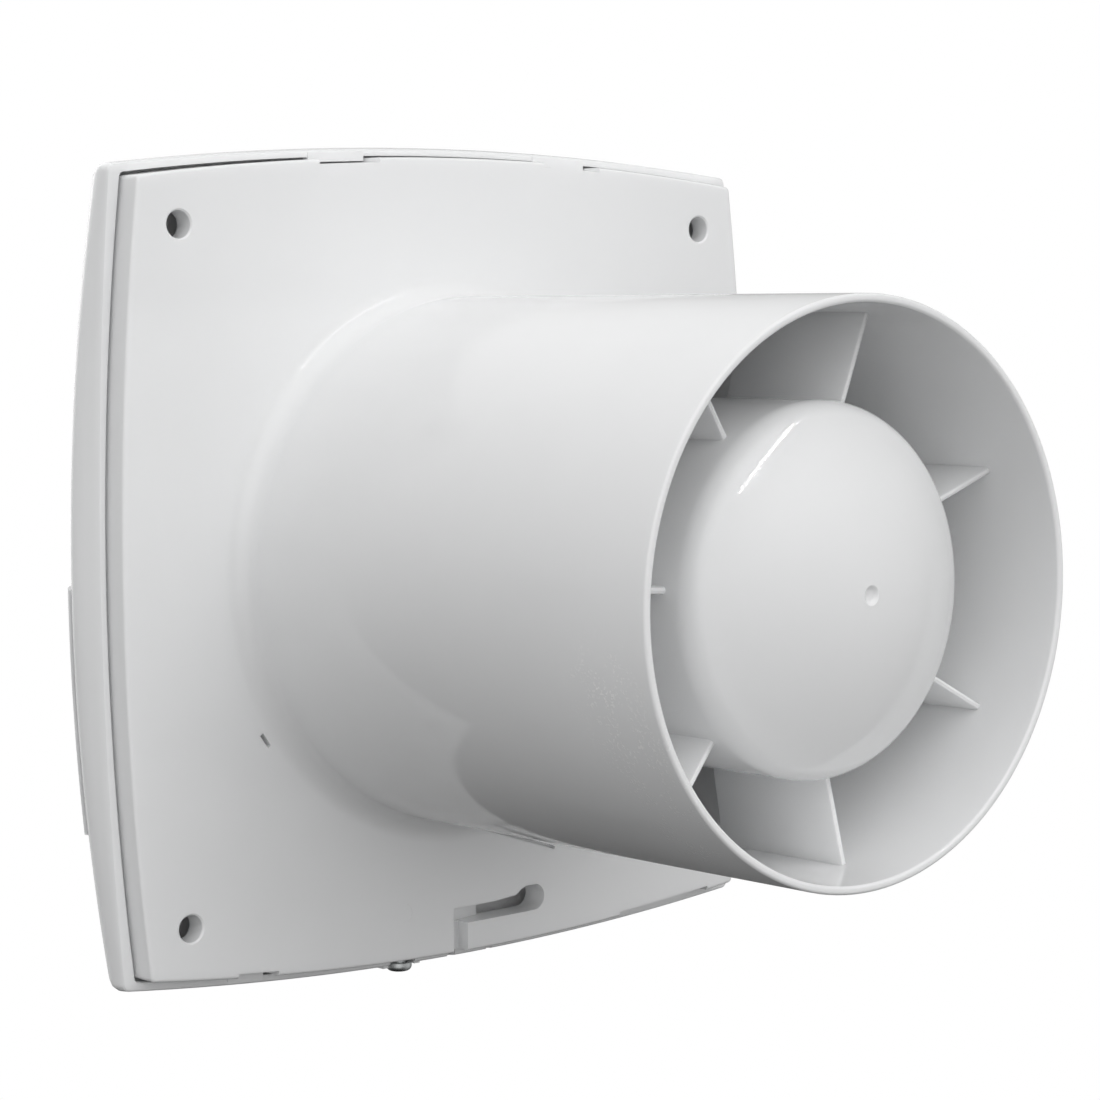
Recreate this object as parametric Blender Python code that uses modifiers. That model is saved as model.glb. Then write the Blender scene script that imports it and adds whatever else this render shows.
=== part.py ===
"""Bathroom extractor fan for a 100 mm duct, as an assembly of separate pieces.

World frame: metres, +Z up. The fan's axis is the world Y axis. The origin is on that axis, in the
plane of the back plate's wall face. The duct spigot points to +Y and the room is at -Y.

Every piece is drawn as on the wall: x to the side, y up, z out of the wall into the room. One
empty, turned a quarter about X, carries that drawing into the world, so drawn z is the world's -Y.
"""

import math

import bmesh
import bpy
from mathutils import Matrix, Vector

MM = 0.001
GAP = 0.3 * MM                      # clearance kept between neighbouring pieces
SMALL_STEPS = 20                    # facets round a rod or a bearing

# Casing: bulged square back plate with side walls, and the duct spigot.
PLATE_HALF = 71.0 * MM              # half the straight line between two corners
PLATE_BULGE = 4.4 * MM              # how far each side bows out at its middle
PLATE_THICK = 2.6 * MM
TRAY_DEPTH = 9.2 * MM
TRAY_WALL = 1.8 * MM
SPIGOT_RADIUS = 49.5 * MM
BORE_RADIUS = 48.0 * MM
SPIGOT_LENGTH = 106.0 * MM
FOOT_FILLET = 4.5 * MM
INLET_STEP_RADIUS = 52.5 * MM
SCREW_PITCH_HALF = 62.5 * MM
SCREW_HOLE_RADIUS = 2.5 * MM

# Front frame and fascia.
LIP_Z = 4.5 * MM                    # rear lip of the frame, in front of the wall face
FRAME_FRONT_Z = 11.4 * MM
SKIN = 1.6 * MM
SNAP_TABS = (("top_a", 18.0, 31.7, 1), ("top_b", -36.0, -22.0, 1), ("low_a", 43.5, 52.4, -1),
             ("low_b", -64.0, -40.0, -1))    # name, left and right end in mm, top or bottom edge
BAND_TOP = -1.5 * MM
BAND_BOTTOM = -45.5 * MM
POST_X = 58.0 * MM
POST_Y = 50.0 * MM
POST_RADIUS = 2.2 * MM
POST_TIP_Z = 8.0 * MM

# Motor cup and guide vanes.
CUP_RADIUS = 31.9 * MM
CUP_WALL = 1.6 * MM
CUP_MOUTH_Z = -38.0 * MM
CUP_SHOULDER_Z = -94.0 * MM
CUP_APEX_Z = -107.0 * MM
VANES = 7
VANE_START = 3.5                    # degrees
VANE_THICK = 1.3 * MM
VANE_FRONT_Z = -64.0 * MM
VANE_REAR_Z = -92.6 * MM

# Motor.
SHAFT_RADIUS = 3.0 * MM
SHAFT_FRONT_Z = -1.5 * MM
SHAFT_REAR_Z = -90.0 * MM
STACK_FRONT_Z = -56.0 * MM          # laminated stack, stator and rotor alike
STACK_REAR_Z = -76.0 * MM
STATOR_RADIUS = 28.5 * MM
YOKE_INNER = 24.0 * MM
POLE_HALF = 4.6 * MM
POLE_FACE = 13.4 * MM
ROTOR_RADIUS = 13.0 * MM
POLES = 4
COIL_RADIUS = 18.0 * MM             # distance of a coil's middle from the axis
COIL_WIRE = 2.3 * MM                # half the thickness of a wound bundle
BOLT_RADIUS = 26.3 * MM             # distance of the motor bolts from the axis
BOLT_SHANK = 1.2 * MM
BOLT_HEAD_Z = -36.4 * MM
BOLT_TIP_Z = -94.6 * MM
BEARING_RADIUS = 6.9 * MM

# Impeller.
BLADES = 8
HUB_RADIUS = 31.0 * MM
BLADE_TIP = 46.9 * MM
BLADE_MIDDLE_Z = -21.0 * MM

# Cable entry and wiring compartment, below the spigot on the -X side.
CHANNEL_FLOOR_Z = 4.0 * MM
TERMINAL = Vector((-39.5, -61.0, 5.3)) * MM
CLAMP = Vector((-25.8, -64.5, 6.2)) * MM
COVER_SCREW = Vector((11.5, 0.0, 5.7)) * MM

FINISHES = {
    "white_abs": ((0.83, 0.84, 0.84), 0.28, 0.0),
    "white_fascia": ((0.86, 0.87, 0.87), 0.16, 0.0),
    "impeller_abs": ((0.80, 0.81, 0.81), 0.35, 0.0),
    "steel": ((0.50, 0.50, 0.50), 0.38, 1.0),
    "zinc": ((0.62, 0.63, 0.60), 0.30, 1.0),
    "laminations": ((0.30, 0.30, 0.31), 0.50, 1.0),
    "copper": ((0.72, 0.33, 0.16), 0.35, 1.0),
    "bronze": ((0.55, 0.40, 0.22), 0.45, 1.0),
    "brass": ((0.76, 0.60, 0.28), 0.32, 1.0),
    "bobbin": ((0.15, 0.16, 0.17), 0.50, 0.0),
    "terminal_nylon": ((0.78, 0.78, 0.74), 0.45, 0.0),
    "fibre": ((0.45, 0.22, 0.14), 0.70, 0.0),
    "tool": ((0.9, 0.3, 0.2), 0.50, 0.0),
}


def clear_scene():
    for old in list(bpy.data.objects):
        bpy.data.objects.remove(old, do_unlink=True)


def make_collection(name):
    made = bpy.data.collections.new(name)
    bpy.context.scene.collection.children.link(made)
    return made


def make_finish(name):
    colour, roughness, metallic = FINISHES[name]
    made = bpy.data.materials.new(name)
    made.use_nodes = True
    shader = made.node_tree.nodes["Principled BSDF"]
    shader.inputs["Base Color"].default_value = (*colour, 1.0)
    shader.inputs["Roughness"].default_value = roughness
    shader.inputs["Metallic"].default_value = metallic
    return made


clear_scene()
PARTS = make_collection("extractor_fan")
TOOLS = make_collection("cutters")
MATERIALS = {name: make_finish(name) for name in FINISHES}
WALL = bpy.data.objects.new("wall_drawing", None)
WALL.rotation_euler = (math.pi / 2, 0, 0)
PARTS.objects.link(WALL)
SPIN = bpy.data.objects.new("spin_axis", None)
SPIN.parent = WALL
PARTS.objects.link(SPIN)


# ---------------------------------------------------------------- building blocks

def add(name, data, finish, at=(0, 0, 0), turn=(0, 0, 0), parent=None):
    """A piece of the fan, or a cutter where the finish is "tool"."""
    made = bpy.data.objects.new(name, data)
    made.location = at
    made.rotation_euler = turn
    made.parent = parent or WALL
    if finish == "tool":
        TOOLS.objects.link(made)
        made.hide_render = True
        made.display_type = "WIRE"
    else:
        PARTS.objects.link(made)
    data.materials.clear()
    data.materials.append(MATERIALS[finish])
    return made


def mesh_from(bm, name):
    bmesh.ops.recalc_face_normals(bm, faces=bm.faces)
    data = bpy.data.meshes.new(name)
    bm.to_mesh(data)
    bm.free()
    return data


def box(name, finish, low, high, bevel=0.0):
    """A block between two corners, with its origin at its middle."""
    low, high = Vector(low), Vector(high)
    bm = bmesh.new()
    bmesh.ops.create_cube(bm, size=1.0)
    bmesh.ops.scale(bm, vec=high - low, verts=bm.verts)
    made = add(name, mesh_from(bm, name), finish, at=(low + high) / 2)
    if bevel:
        round_edges(made, bevel)
    return made


def rod(name, finish, radius, start, end, steps=SMALL_STEPS):
    """A cylinder from one point to another."""
    start, end = Vector(start), Vector(end)
    along = end - start
    bm = bmesh.new()
    bmesh.ops.create_cone(bm, cap_ends=True, segments=steps, radius1=radius,
                          radius2=radius, depth=along.length)
    made = add(name, mesh_from(bm, name), finish, at=(start + end) / 2)
    made.rotation_mode = "QUATERNION"
    made.rotation_quaternion = along.to_track_quat("Z", "Y")
    return made


def turned(name, finish, profile, steps, at=(0, 0, 0), turn=(0, 0, 0), parent=None):
    """Turns (radius, z) points about z. The points run down the outer side first.

    A profile that starts on the axis ends on it. Any other profile closes on its first point.
    """
    bm = bmesh.new()
    points = [bm.verts.new((radius, 0, z)) for radius, z in profile]
    for a, b in zip(points, points[1:]):
        bm.edges.new((a, b))
    if profile[0][0] > 0:
        bm.edges.new((points[-1], points[0]))
    data = bpy.data.meshes.new(name)
    bm.to_mesh(data)
    bm.free()
    made = add(name, data, finish, at=at, turn=turn, parent=parent)
    screw = made.modifiers.new("turn", "SCREW")
    screw.axis = "Z"
    screw.angle = 2 * math.pi
    screw.steps = steps
    screw.render_steps = steps
    screw.use_merge_vertices = True
    screw.merge_threshold = 0.00001
    return made


def flat_outline(name, finish, loops, low, high, parent=None):
    """A plate of one outline, with any further loops as holes, between two z heights."""
    curve = bpy.data.curves.new(name, "CURVE")
    curve.dimensions = "2D"
    curve.fill_mode = "BOTH"
    curve.extrude = (high - low) / 2
    for loop in loops:
        spline = curve.splines.new("POLY")
        spline.points.add(len(loop) - 1)
        for point, (x, y) in zip(spline.points, loop):
            point.co = (x, y, 0, 1)
        spline.use_cyclic_u = True
    source = bpy.data.objects.new(name + "_outline", curve)
    bpy.context.scene.collection.objects.link(source)
    seen = source.evaluated_get(bpy.context.evaluated_depsgraph_get())
    bm = bmesh.new()
    bm.from_mesh(bpy.data.meshes.new_from_object(seen))
    bmesh.ops.remove_doubles(bm, verts=bm.verts, dist=0.00001)
    bpy.data.objects.remove(source, do_unlink=True)
    return add(name, mesh_from(bm, name), finish, at=(0, 0, (low + high) / 2), parent=parent)


def round_edges(made, width, segments=1):
    bevel = made.modifiers.new("round", "BEVEL")
    bevel.width = width
    bevel.segments = segments
    bevel.limit_method = "ANGLE"
    bevel.angle_limit = math.radians(40)


def boolean(made, operation, tools):
    for tool in tools:
        step = made.modifiers.new(operation.lower(), "BOOLEAN")
        step.operation = operation
        step.solver = "EXACT"
        step.object = tool


def smooth(made, angle=32):
    """Shades a piece's own mesh smooth. A turned piece takes it from its Screw modifier."""
    made.data.shade_smooth()
    made.data.set_sharp_from_angle(angle=math.radians(angle))


# ---------------------------------------------------------------- outlines and lofts

QUADRANT = (0, 9, 18, 27, 35, 41, 44.2, 44.75, 45.25, 45.8, 49, 55, 63, 72, 81)
ANGLES = [math.radians(quarter * 90 + step) for quarter in range(4) for step in QUADRANT]


def bowed_square(half, bulge, corner=1 * MM, crown=None, flatter=0.0):
    """A square with sides bowed out as shallow arcs and a true radius at each corner. A crown given
    bows the top and bottom differently, and flatter lowers the corners by that much."""
    points = []
    for angle in ANGLES:
        upright = abs(math.sin(angle)) > abs(math.cos(angle))
        bow = crown if crown and upright else bulge
        side = (half * half + bow * bow) / (2 * bow)
        middle = half + bow - side
        inset = (middle + math.sqrt(2 * (side - corner) ** 2 - middle ** 2)) / 2
        meeting = math.atan2(inset * side, middle * (side - corner) + (inset - middle) * side)
        lean = math.acos(min(1.0, max(abs(math.cos(angle)), abs(math.sin(angle)))))
        if lean < meeting:
            reach = middle * math.cos(lean) + math.sqrt(side ** 2 - (middle * math.sin(lean)) ** 2)
        else:
            along = inset * (math.cos(lean) + math.sin(lean))
            reach = along + math.sqrt(along ** 2 - 2 * inset ** 2 + corner ** 2)
        points.append((reach * math.cos(angle), reach * math.sin(angle) * (1 - flatter / half)))
    return points


def circle(radius):
    return [(radius * math.cos(angle), radius * math.sin(angle)) for angle in ANGLES]


def loft(name, finish, sections, ring=True):
    """Skins a list of (outline, z) sections. A ring joins the last to the first; else both are capped."""
    bm = bmesh.new()
    rows = [[bm.verts.new((x, y, z)) for x, y in outline] for outline, z in sections]
    pairs = list(zip(rows, rows[1:]))
    if ring:
        pairs.append((rows[-1], rows[0]))
    else:
        bm.faces.new(rows[0])
        bm.faces.new(rows[-1])
    count = len(ANGLES)
    for a, b in pairs:
        for i in range(count):
            j = (i + 1) % count
            bm.faces.new((a[i], a[j], b[j], b[i]))
    made = add(name, mesh_from(bm, name), finish)
    smooth(made)
    return made


# ---------------------------------------------------------------- rear casing

def spigot_foot():
    """The concave fillet between the spigot and the wall face of the plate."""
    sections = []
    for degrees in (0, 30, 60, 90):
        angle = math.radians(degrees)
        radius = SPIGOT_RADIUS + FOOT_FILLET * (1 - math.cos(angle))
        sections.append((circle(radius), -FOOT_FILLET * (1 - math.sin(angle))))
    return sections


def cable_channel():
    """The surface-cable channel in the wall face, and the opening at its end."""
    leg = [(-1.0, -82.0), (2.6, -82.0), (2.6, -66.8), (-1.0, -66.8)]
    run = [(2.0, -70.1), (2.0, -66.8), (-12.0, -66.6), (-12.0, -69.8)]
    end = [(-11.7, -69.8), (-11.7, -66.4), (-13.2, -65.4), (-15.0, -64.6), (-18.9, -64.6),
           (-19.8, -65.4), (-20.2, -66.9), (-19.8, -68.9), (-18.9, -69.6)]
    top = -2 * MM
    tools = []
    for name, loop, floor in (("leg", leg, CHANNEL_FLOOR_Z), ("run", run, CHANNEL_FLOOR_Z),
                              ("end", end, TRAY_DEPTH)):
        loop = [(x * MM, y * MM) for x, y in loop]
        tools.append(flat_outline("channel_" + name, "tool", [loop], top, floor))
    return tools


def slit(name, start, end, width):
    """A narrow slot through the plate between two points of its wall face."""
    start, end = Vector(start) * MM, Vector(end) * MM
    along = end - start
    middle = (start + end) / 2
    tool = box(name, "tool", (-along.length / 2, -width / 2, -2 * MM),
               (along.length / 2, width / 2, PLATE_THICK + 1 * MM))
    tool.location = (middle.x, middle.y, tool.location.z)
    tool.rotation_euler = (0, 0, math.atan2(along.y, along.x))
    return tool


def edge_strip(name, left, right, side, inner, outer, low, high):
    """A block along the plate's top or bottom edge, between two offsets from that edge."""
    bow = (PLATE_HALF ** 2 + PLATE_BULGE ** 2) / (2 * PLATE_BULGE)
    loop = []
    for x, offset in ((left, inner), (right, inner), (right, outer), (left, outer)):
        loop.append((x, side * (PLATE_HALF + PLATE_BULGE - x * x / (2 * bow) + offset)))
    return flat_outline(name, "tool", [loop], low, high)


def make_rear_casing():
    edge = 0.5 * MM
    inner_half = PLATE_HALF - TRAY_WALL
    ledge_z = 0.5 * MM
    rim = 0.35 * MM
    sections = [
        (bowed_square(PLATE_HALF - edge, PLATE_BULGE), 0.0),
        (bowed_square(PLATE_HALF, PLATE_BULGE), edge),
        (bowed_square(PLATE_HALF, PLATE_BULGE), TRAY_DEPTH),
        (bowed_square(inner_half, PLATE_BULGE), TRAY_DEPTH),
        (bowed_square(inner_half, PLATE_BULGE), PLATE_THICK),
        (circle(INLET_STEP_RADIUS), PLATE_THICK),
        (circle(INLET_STEP_RADIUS), ledge_z),
        (circle(BORE_RADIUS), ledge_z),
        (circle(BORE_RADIUS), rim - SPIGOT_LENGTH),
        (circle(BORE_RADIUS + rim), -SPIGOT_LENGTH),
        (circle(SPIGOT_RADIUS - rim), -SPIGOT_LENGTH),
        (circle(SPIGOT_RADIUS), rim - SPIGOT_LENGTH),
        *spigot_foot(),
    ]
    casing = loft("rear_casing", "white_abs", sections)
    inside = PLATE_THICK - 0.6 * MM
    added = [
        box("channel_block", "tool", Vector((-22.5, -75.0, 2.0)) * MM, Vector((5.0, -62.6, 5.6)) * MM),
        box("screw_block", "tool", Vector((7.5, -75.0, 2.0)) * MM, Vector((15.5, -66.0, 8.1)) * MM),
        rod("clamp_post_low", "tool", 2.2 * MM, (CLAMP.x, CLAMP.y - 5 * MM, inside),
            (CLAMP.x, CLAMP.y - 5 * MM, CLAMP.z - 1.6 * MM), 12),
        rod("clamp_post_high", "tool", 2.2 * MM, (CLAMP.x, CLAMP.y + 5 * MM, inside),
            (CLAMP.x, CLAMP.y + 5 * MM, CLAMP.z - 1.6 * MM), 12),
    ]
    cuts = cable_channel()
    for x in (-1, 1):
        for y in (-1, 1):
            centre = Vector((x * SCREW_PITCH_HALF, y * SCREW_PITCH_HALF, 0))
            name = f"{'left' if x < 0 else 'right'}_{'low' if y < 0 else 'high'}"
            added.append(rod("boss_" + name, "tool", SCREW_HOLE_RADIUS + 2 * MM,
                             centre + Vector((0, 0, inside)), centre + Vector((0, 0, 4.4 * MM)), 16))
            cuts.append(rod("hole_" + name, "tool", SCREW_HOLE_RADIUS,
                            centre + Vector((0, 0, -2 * MM)), centre + Vector((0, 0, 6 * MM))))
    cuts += [
        slit("drain_slit", (46.6, -29.1, 0), (44.9, -31.5, 0), 0.9 * MM),
        slit("lead_slit", (-7.5, -53.6, 0), (-22.5, -58.0, 0), 0.8 * MM),
        rod("cover_screw_hole", "tool", 1.6 * MM, (COVER_SCREW.x, -80 * MM, COVER_SCREW.z),
            (COVER_SCREW.x, -66.5 * MM, COVER_SCREW.z), 12),
    ]
    for step, y in enumerate((-5, 5)):
        cuts.append(rod(f"clamp_screw_hole_{step}", "tool", 1.2 * MM,
                        (CLAMP.x, CLAMP.y + y * MM, 2.2 * MM), (CLAMP.x, CLAMP.y + y * MM, 9 * MM), 12))
    for name, left, right, side in SNAP_TABS:
        cuts.append(edge_strip("tab_notch_" + name, left * MM, right * MM, side, -0.9 * MM, 3 * MM,
                               -1 * MM, TRAY_DEPTH + 1 * MM))
    boolean(casing, "UNION", added)
    boolean(casing, "DIFFERENCE", cuts)
    return casing


# ---------------------------------------------------------------- front frame and fascia

def make_front_frame():
    lip = bowed_square(PLATE_HALF + 0.5 * MM, PLATE_BULGE)
    inner = bowed_square(72.3 * MM, PLATE_BULGE)
    deck = bowed_square(67.5 * MM, 5.6 * MM, 2 * MM)
    sections = [
        (lip, LIP_Z),
        (bowed_square(73.9 * MM, 3.3 * MM, 1.4 * MM, 4.1 * MM, 1 * MM), LIP_Z),
        (bowed_square(74.2 * MM, 4.9 * MM, 1.6 * MM, 4.3 * MM, 1 * MM), 7.4 * MM),
        (bowed_square(73.2 * MM, 6.3 * MM, 2 * MM, 5.1 * MM, 1 * MM), 10.5 * MM),
        (bowed_square(72.2 * MM, 6.2 * MM, 2 * MM, 5.1 * MM, 1 * MM), FRAME_FRONT_Z),
        (deck, FRAME_FRONT_Z),
        (circle(58.0 * MM), 9.6 * MM),
        (circle(52.6 * MM), 6.0 * MM),
        (circle(49.2 * MM), 1.0 * MM),
        (circle(50.9 * MM), 1.0 * MM),
        (circle(54.2 * MM), 5.6 * MM),
        (circle(58.6 * MM), 7.9 * MM),
        (deck, FRAME_FRONT_Z - SKIN),
        (bowed_square(71.4 * MM, 6.0 * MM, 1 * MM, 5.0 * MM, 1 * MM), FRAME_FRONT_Z - SKIN),
        (inner, 8.2 * MM),
        (inner, LIP_Z + SKIN),
        (lip, LIP_Z + SKIN),
    ]
    frame = loft("front_frame", "white_abs", sections)
    pad_top = -(PLATE_HALF + PLATE_BULGE + 0.25 * MM)
    added = [
        box("screw_pad", "tool", (COVER_SCREW.x - 4.4 * MM, pad_top - 1.65 * MM, LIP_Z + 0.4 * MM),
            (COVER_SCREW.x + 4.4 * MM, pad_top, 8.6 * MM)),
    ]
    cuts = [
        rod("screw_pocket", "tool", 3.2 * MM, (COVER_SCREW.x, -84 * MM, COVER_SCREW.z),
            (COVER_SCREW.x, pad_top - 0.55 * MM, COVER_SCREW.z)),
        rod("screw_clearance", "tool", 1.7 * MM, (COVER_SCREW.x, -84 * MM, COVER_SCREW.z),
            (COVER_SCREW.x, -72 * MM, COVER_SCREW.z), 12),
        box("knockout_notch", "tool", Vector((-1.3, -84, 2)) * MM, Vector((0.5, -74.5, 8.8)) * MM),
        box("knockout_step", "tool", Vector((-10.6, -84, 2)) * MM, Vector((-9.2, -76.6, 7.0)) * MM),
    ]
    for name, left, right, side in SNAP_TABS:
        added.append(edge_strip("snap_tab_" + name, (left + 0.5) * MM, (right - 0.5) * MM, side, -0.5 * MM,
                                1.3 * MM, LIP_Z - 0.15 * MM, LIP_Z + SKIN - 0.3 * MM))
    for x in (-1, 1):
        for y in (-1, 1):
            at = Vector((x * POST_X, y * POST_Y, 0))
            name = f"post_hole_{'left' if x < 0 else 'right'}_{'low' if y < 0 else 'high'}"
            cuts.append(rod(name, "tool", POST_RADIUS + 0.6 * MM, at + Vector((0, 0, 6 * MM)),
                            at + Vector((0, 0, 15 * MM)), 16))
    boolean(frame, "UNION", added)
    boolean(frame, "DIFFERENCE", cuts)
    return frame


def crowned_shell(name, finish, inside, outside):
    """A shallow dish of bowed outlines, from the middle of its back round to the middle of its front."""
    corner = 3 * MM
    sections = [(bowed_square(half * MM, bulge * MM, corner), z * MM) for half, bulge, z in inside + outside]
    return loft(name, finish, sections, ring=False)


def make_fascia():
    """The removable front panel. Its raised band wraps both sides and reaches back to the frame."""
    panel = crowned_shell(
        "fascia_panel", "white_fascia",
        [(20.0, 1.7, 20.5), (42.0, 3.6, 19.9), (59.2, 5.1, 18.9), (64.7, 5.6, 18.2), (66.8, 5.9, 17.0)],
        [(68.2, 6.0, 17.0), (68.3, 6.0, 18.3), (67.5, 6.0, 19.4), (65.6, 5.8, 20.2), (59.2, 5.1, 21.2),
         (42.0, 3.6, 22.2), (20.0, 1.7, 22.8)])
    band = crowned_shell(
        "band", "tool",
        [(20.0, 1.7, 22.0), (42.0, 3.6, 21.4), (59.2, 5.1, 20.0), (65.0, 5.8, 18.2), (67.8, 6.2, 15.6),
         (70.2, 6.2, 12.0)],
        [(72.8, 6.2, 12.0), (72.3, 6.2, 13.2), (69.4, 6.2, 17.6), (66.3, 6.0, 20.4), (59.2, 5.1, 22.2),
         (42.0, 3.6, 23.3), (20.0, 1.7, 23.9)])
    stretch = box("band_stretch", "tool", (-90 * MM, BAND_BOTTOM, 0), (90 * MM, BAND_TOP, 30 * MM))
    boolean(band, "INTERSECT", [stretch])
    added = [band]
    for x in (-POST_X, POST_X):
        for y in (-POST_Y, POST_Y):
            name = f"post_{'left' if x < 0 else 'right'}_{'low' if y < 0 else 'high'}"
            added.append(rod(name, "tool", POST_RADIUS, (x, y, POST_TIP_Z), (x, y, 19.6 * MM), 12))
    boolean(panel, "UNION", added)
    return panel


# ---------------------------------------------------------------- motor cup with guide vanes

def cup_profile():
    """The cup's section: up its inner side from the middle of the dome, then down its outer side."""
    shoulder = 5.0 * MM
    foot_radius = 29.6 * MM
    foot_z = CUP_SHOULDER_Z - 4.0 * MM
    rise = foot_z - CUP_APEX_Z
    ball = (foot_radius ** 2 + rise ** 2) / (2 * rise)
    outer = [(CUP_RADIUS, CUP_MOUTH_Z), (CUP_RADIUS, CUP_SHOULDER_Z)]
    for part in (0.35, 0.7):
        angle = part * math.radians(55)
        inset = shoulder * (1 - math.cos(angle))
        outer.append((CUP_RADIUS - inset, CUP_SHOULDER_Z - shoulder * math.sin(angle)))
    for part in (1.0, 0.75, 0.5, 0.25):
        radius = foot_radius * part
        outer.append((radius, CUP_APEX_Z + ball - math.sqrt(ball ** 2 - radius ** 2)))
    outer.append((0.0, CUP_APEX_Z))
    inner = [(radius * (1 - CUP_WALL / CUP_RADIUS), z + CUP_WALL) for radius, z in outer[2:]]
    mouth = [(CUP_RADIUS - CUP_WALL, CUP_SHOULDER_Z), (CUP_RADIUS - CUP_WALL, CUP_MOUTH_Z)]
    return list(reversed(inner)) + mouth + outer


def make_motor_mount():
    cup = turned("motor_mount", "white_abs", cup_profile(), 40)
    added = []
    length = BORE_RADIUS - GAP - 0.15 * MM - (CUP_RADIUS - 0.9 * MM)
    for step in range(VANES):
        angle = math.radians(VANE_START + step * 360 / VANES)
        vane = box(f"vane_{step}", "tool", (CUP_RADIUS - 0.9 * MM, -VANE_THICK / 2, VANE_REAR_Z),
                   (CUP_RADIUS - 0.9 * MM + length, VANE_THICK / 2, VANE_FRONT_Z))
        middle = vane.location.copy()
        vane.location = Matrix.Rotation(angle, 3, "Z") @ middle
        vane.rotation_euler = (0, 0, angle)
        added.append(vane)
    cuts = []
    for step, angle in enumerate(bolt_angles()):
        at = Vector((BOLT_RADIUS * math.cos(angle), BOLT_RADIUS * math.sin(angle), 0))
        added.append(rod(f"bolt_boss_{step}", "tool", 3.0 * MM, at + Vector((0, 0, -86.0 * MM)),
                         at + Vector((0, 0, BOLT_TIP_Z - 2.6 * MM)), 16))
        cuts.append(rod(f"bolt_socket_{step}", "tool", BOLT_SHANK + GAP, at + Vector((0, 0, -80 * MM)),
                        at + Vector((0, 0, BOLT_TIP_Z - 0.6 * MM)), 12))
    boolean(cup, "UNION", added)
    boolean(cup, "DIFFERENCE", cuts)
    return cup


def bolt_angles():
    return [math.radians(45), math.radians(225)]


# ---------------------------------------------------------------- motor

def make_brackets():
    housing = 9.0 * MM
    seat = BEARING_RADIUS + GAP
    plate = CUP_RADIUS - CUP_WALL - GAP
    front = [(seat, -36.6), (housing, -36.6), (housing, -39.0), (plate, -39.0), (plate, -41.4),
             (housing, -41.4), (housing, -50.0), (4.2 * MM, -50.0), (4.2 * MM, -48.9), (seat, -48.9)]
    rear = [(4.2 * MM, -80.6), (housing, -80.6), (housing, -83.0), (28.4 * MM, -83.0), (28.4 * MM, -85.4),
            (housing, -85.4), (housing, -93.4), (seat, -93.4), (seat, -81.8), (4.2 * MM, -81.8)]
    for name, profile in (("front_bracket", front), ("rear_bracket", rear)):
        bracket = turned(name, "steel", [(radius, z * MM) for radius, z in profile], 28)
        cuts = []
        for step, angle in enumerate(bolt_angles()):
            at = Vector((BOLT_RADIUS * math.cos(angle), BOLT_RADIUS * math.sin(angle), 0))
            cuts.append(rod(f"{name}_hole_{step}", "tool", BOLT_SHANK + GAP, at + Vector((0, 0, -30 * MM)),
                            at + Vector((0, 0, -95 * MM)), 12))
        for step in range(4):
            angle = math.radians(step * 90)
            at = Vector((18 * MM * math.cos(angle), 18 * MM * math.sin(angle), 0))
            cuts.append(rod(f"{name}_vent_{step}", "tool", 5 * MM, at + Vector((0, 0, -30 * MM)),
                            at + Vector((0, 0, -95 * MM)), 12))
        boolean(bracket, "DIFFERENCE", cuts)


def ring(name, finish, inner, outer, front, rear, steps=SMALL_STEPS, parent=None):
    profile = [(inner, front), (outer, front), (outer, rear), (inner, rear)]
    return turned(name, finish, profile, steps, parent=parent)


def make_bearings():
    bore = SHAFT_RADIUS + GAP
    ring("front_bearing", "bronze", bore, BEARING_RADIUS, -37.4 * MM, -48.5 * MM)
    ring("rear_bearing", "bronze", bore, BEARING_RADIUS, -82.2 * MM, -92.2 * MM)
    ring("front_thrust_washer", "fibre", bore, 5.6 * MM, -51.0 * MM, -52.0 * MM, parent=SPIN)
    ring("rear_thrust_washer", "fibre", bore, 5.6 * MM, -78.6 * MM, -79.6 * MM, parent=SPIN)


def pole_contour():
    """Inside edge of the stator: the yoke's bore with four poles that widen at the air gap."""
    points = []
    shoe = math.radians(34)
    neck = math.asin(POLE_HALF / YOKE_INNER)
    for pole in range(POLES):
        middle = pole * 2 * math.pi / POLES
        corners = [(YOKE_INNER, -neck), (16.2 * MM, -math.asin(POLE_HALF / (16.2 * MM))),
                   (14.6 * MM, -shoe)]
        corners += [(POLE_FACE, shoe * part) for part in (-1, -0.5, 0, 0.5, 1)]
        corners += [(radius, -angle) for radius, angle in reversed(corners[:3])]
        points += [(radius, middle + angle) for radius, angle in corners]
        points += [(YOKE_INNER, middle + math.radians(step)) for step in (25, 45, 65)]
    return [(radius * math.cos(angle), radius * math.sin(angle)) for radius, angle in points]


def make_stator():
    outer = [(STATOR_RADIUS * math.cos(2 * math.pi * i / 40), STATOR_RADIUS * math.sin(2 * math.pi * i / 40))
             for i in range(40)]
    core = flat_outline("stator_core", "laminations", [outer, pole_contour()], STACK_REAR_Z, STACK_FRONT_Z)
    cuts = []
    for step, angle in enumerate(bolt_angles()):
        at = Vector((BOLT_RADIUS * math.cos(angle), BOLT_RADIUS * math.sin(angle), 0))
        cuts.append(rod(f"stator_hole_{step}", "tool", BOLT_SHANK + GAP, at + Vector((0, 0, -50 * MM)),
                        at + Vector((0, 0, -82 * MM)), 12))
    boolean(core, "DIFFERENCE", cuts)


def rounded_loop(half_across, half_along, corner, steps=3):
    """Points of a rounded rectangle."""
    points = []
    for sign_x, sign_y, start in ((1, 1, 0), (-1, 1, 90), (-1, -1, 180), (1, -1, 270)):
        for step in range(steps + 1):
            angle = math.radians(start + 90 * step / steps)
            points.append((sign_x * (half_across - corner) + corner * math.cos(angle),
                           sign_y * (half_along - corner) + corner * math.sin(angle)))
    return points


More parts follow.
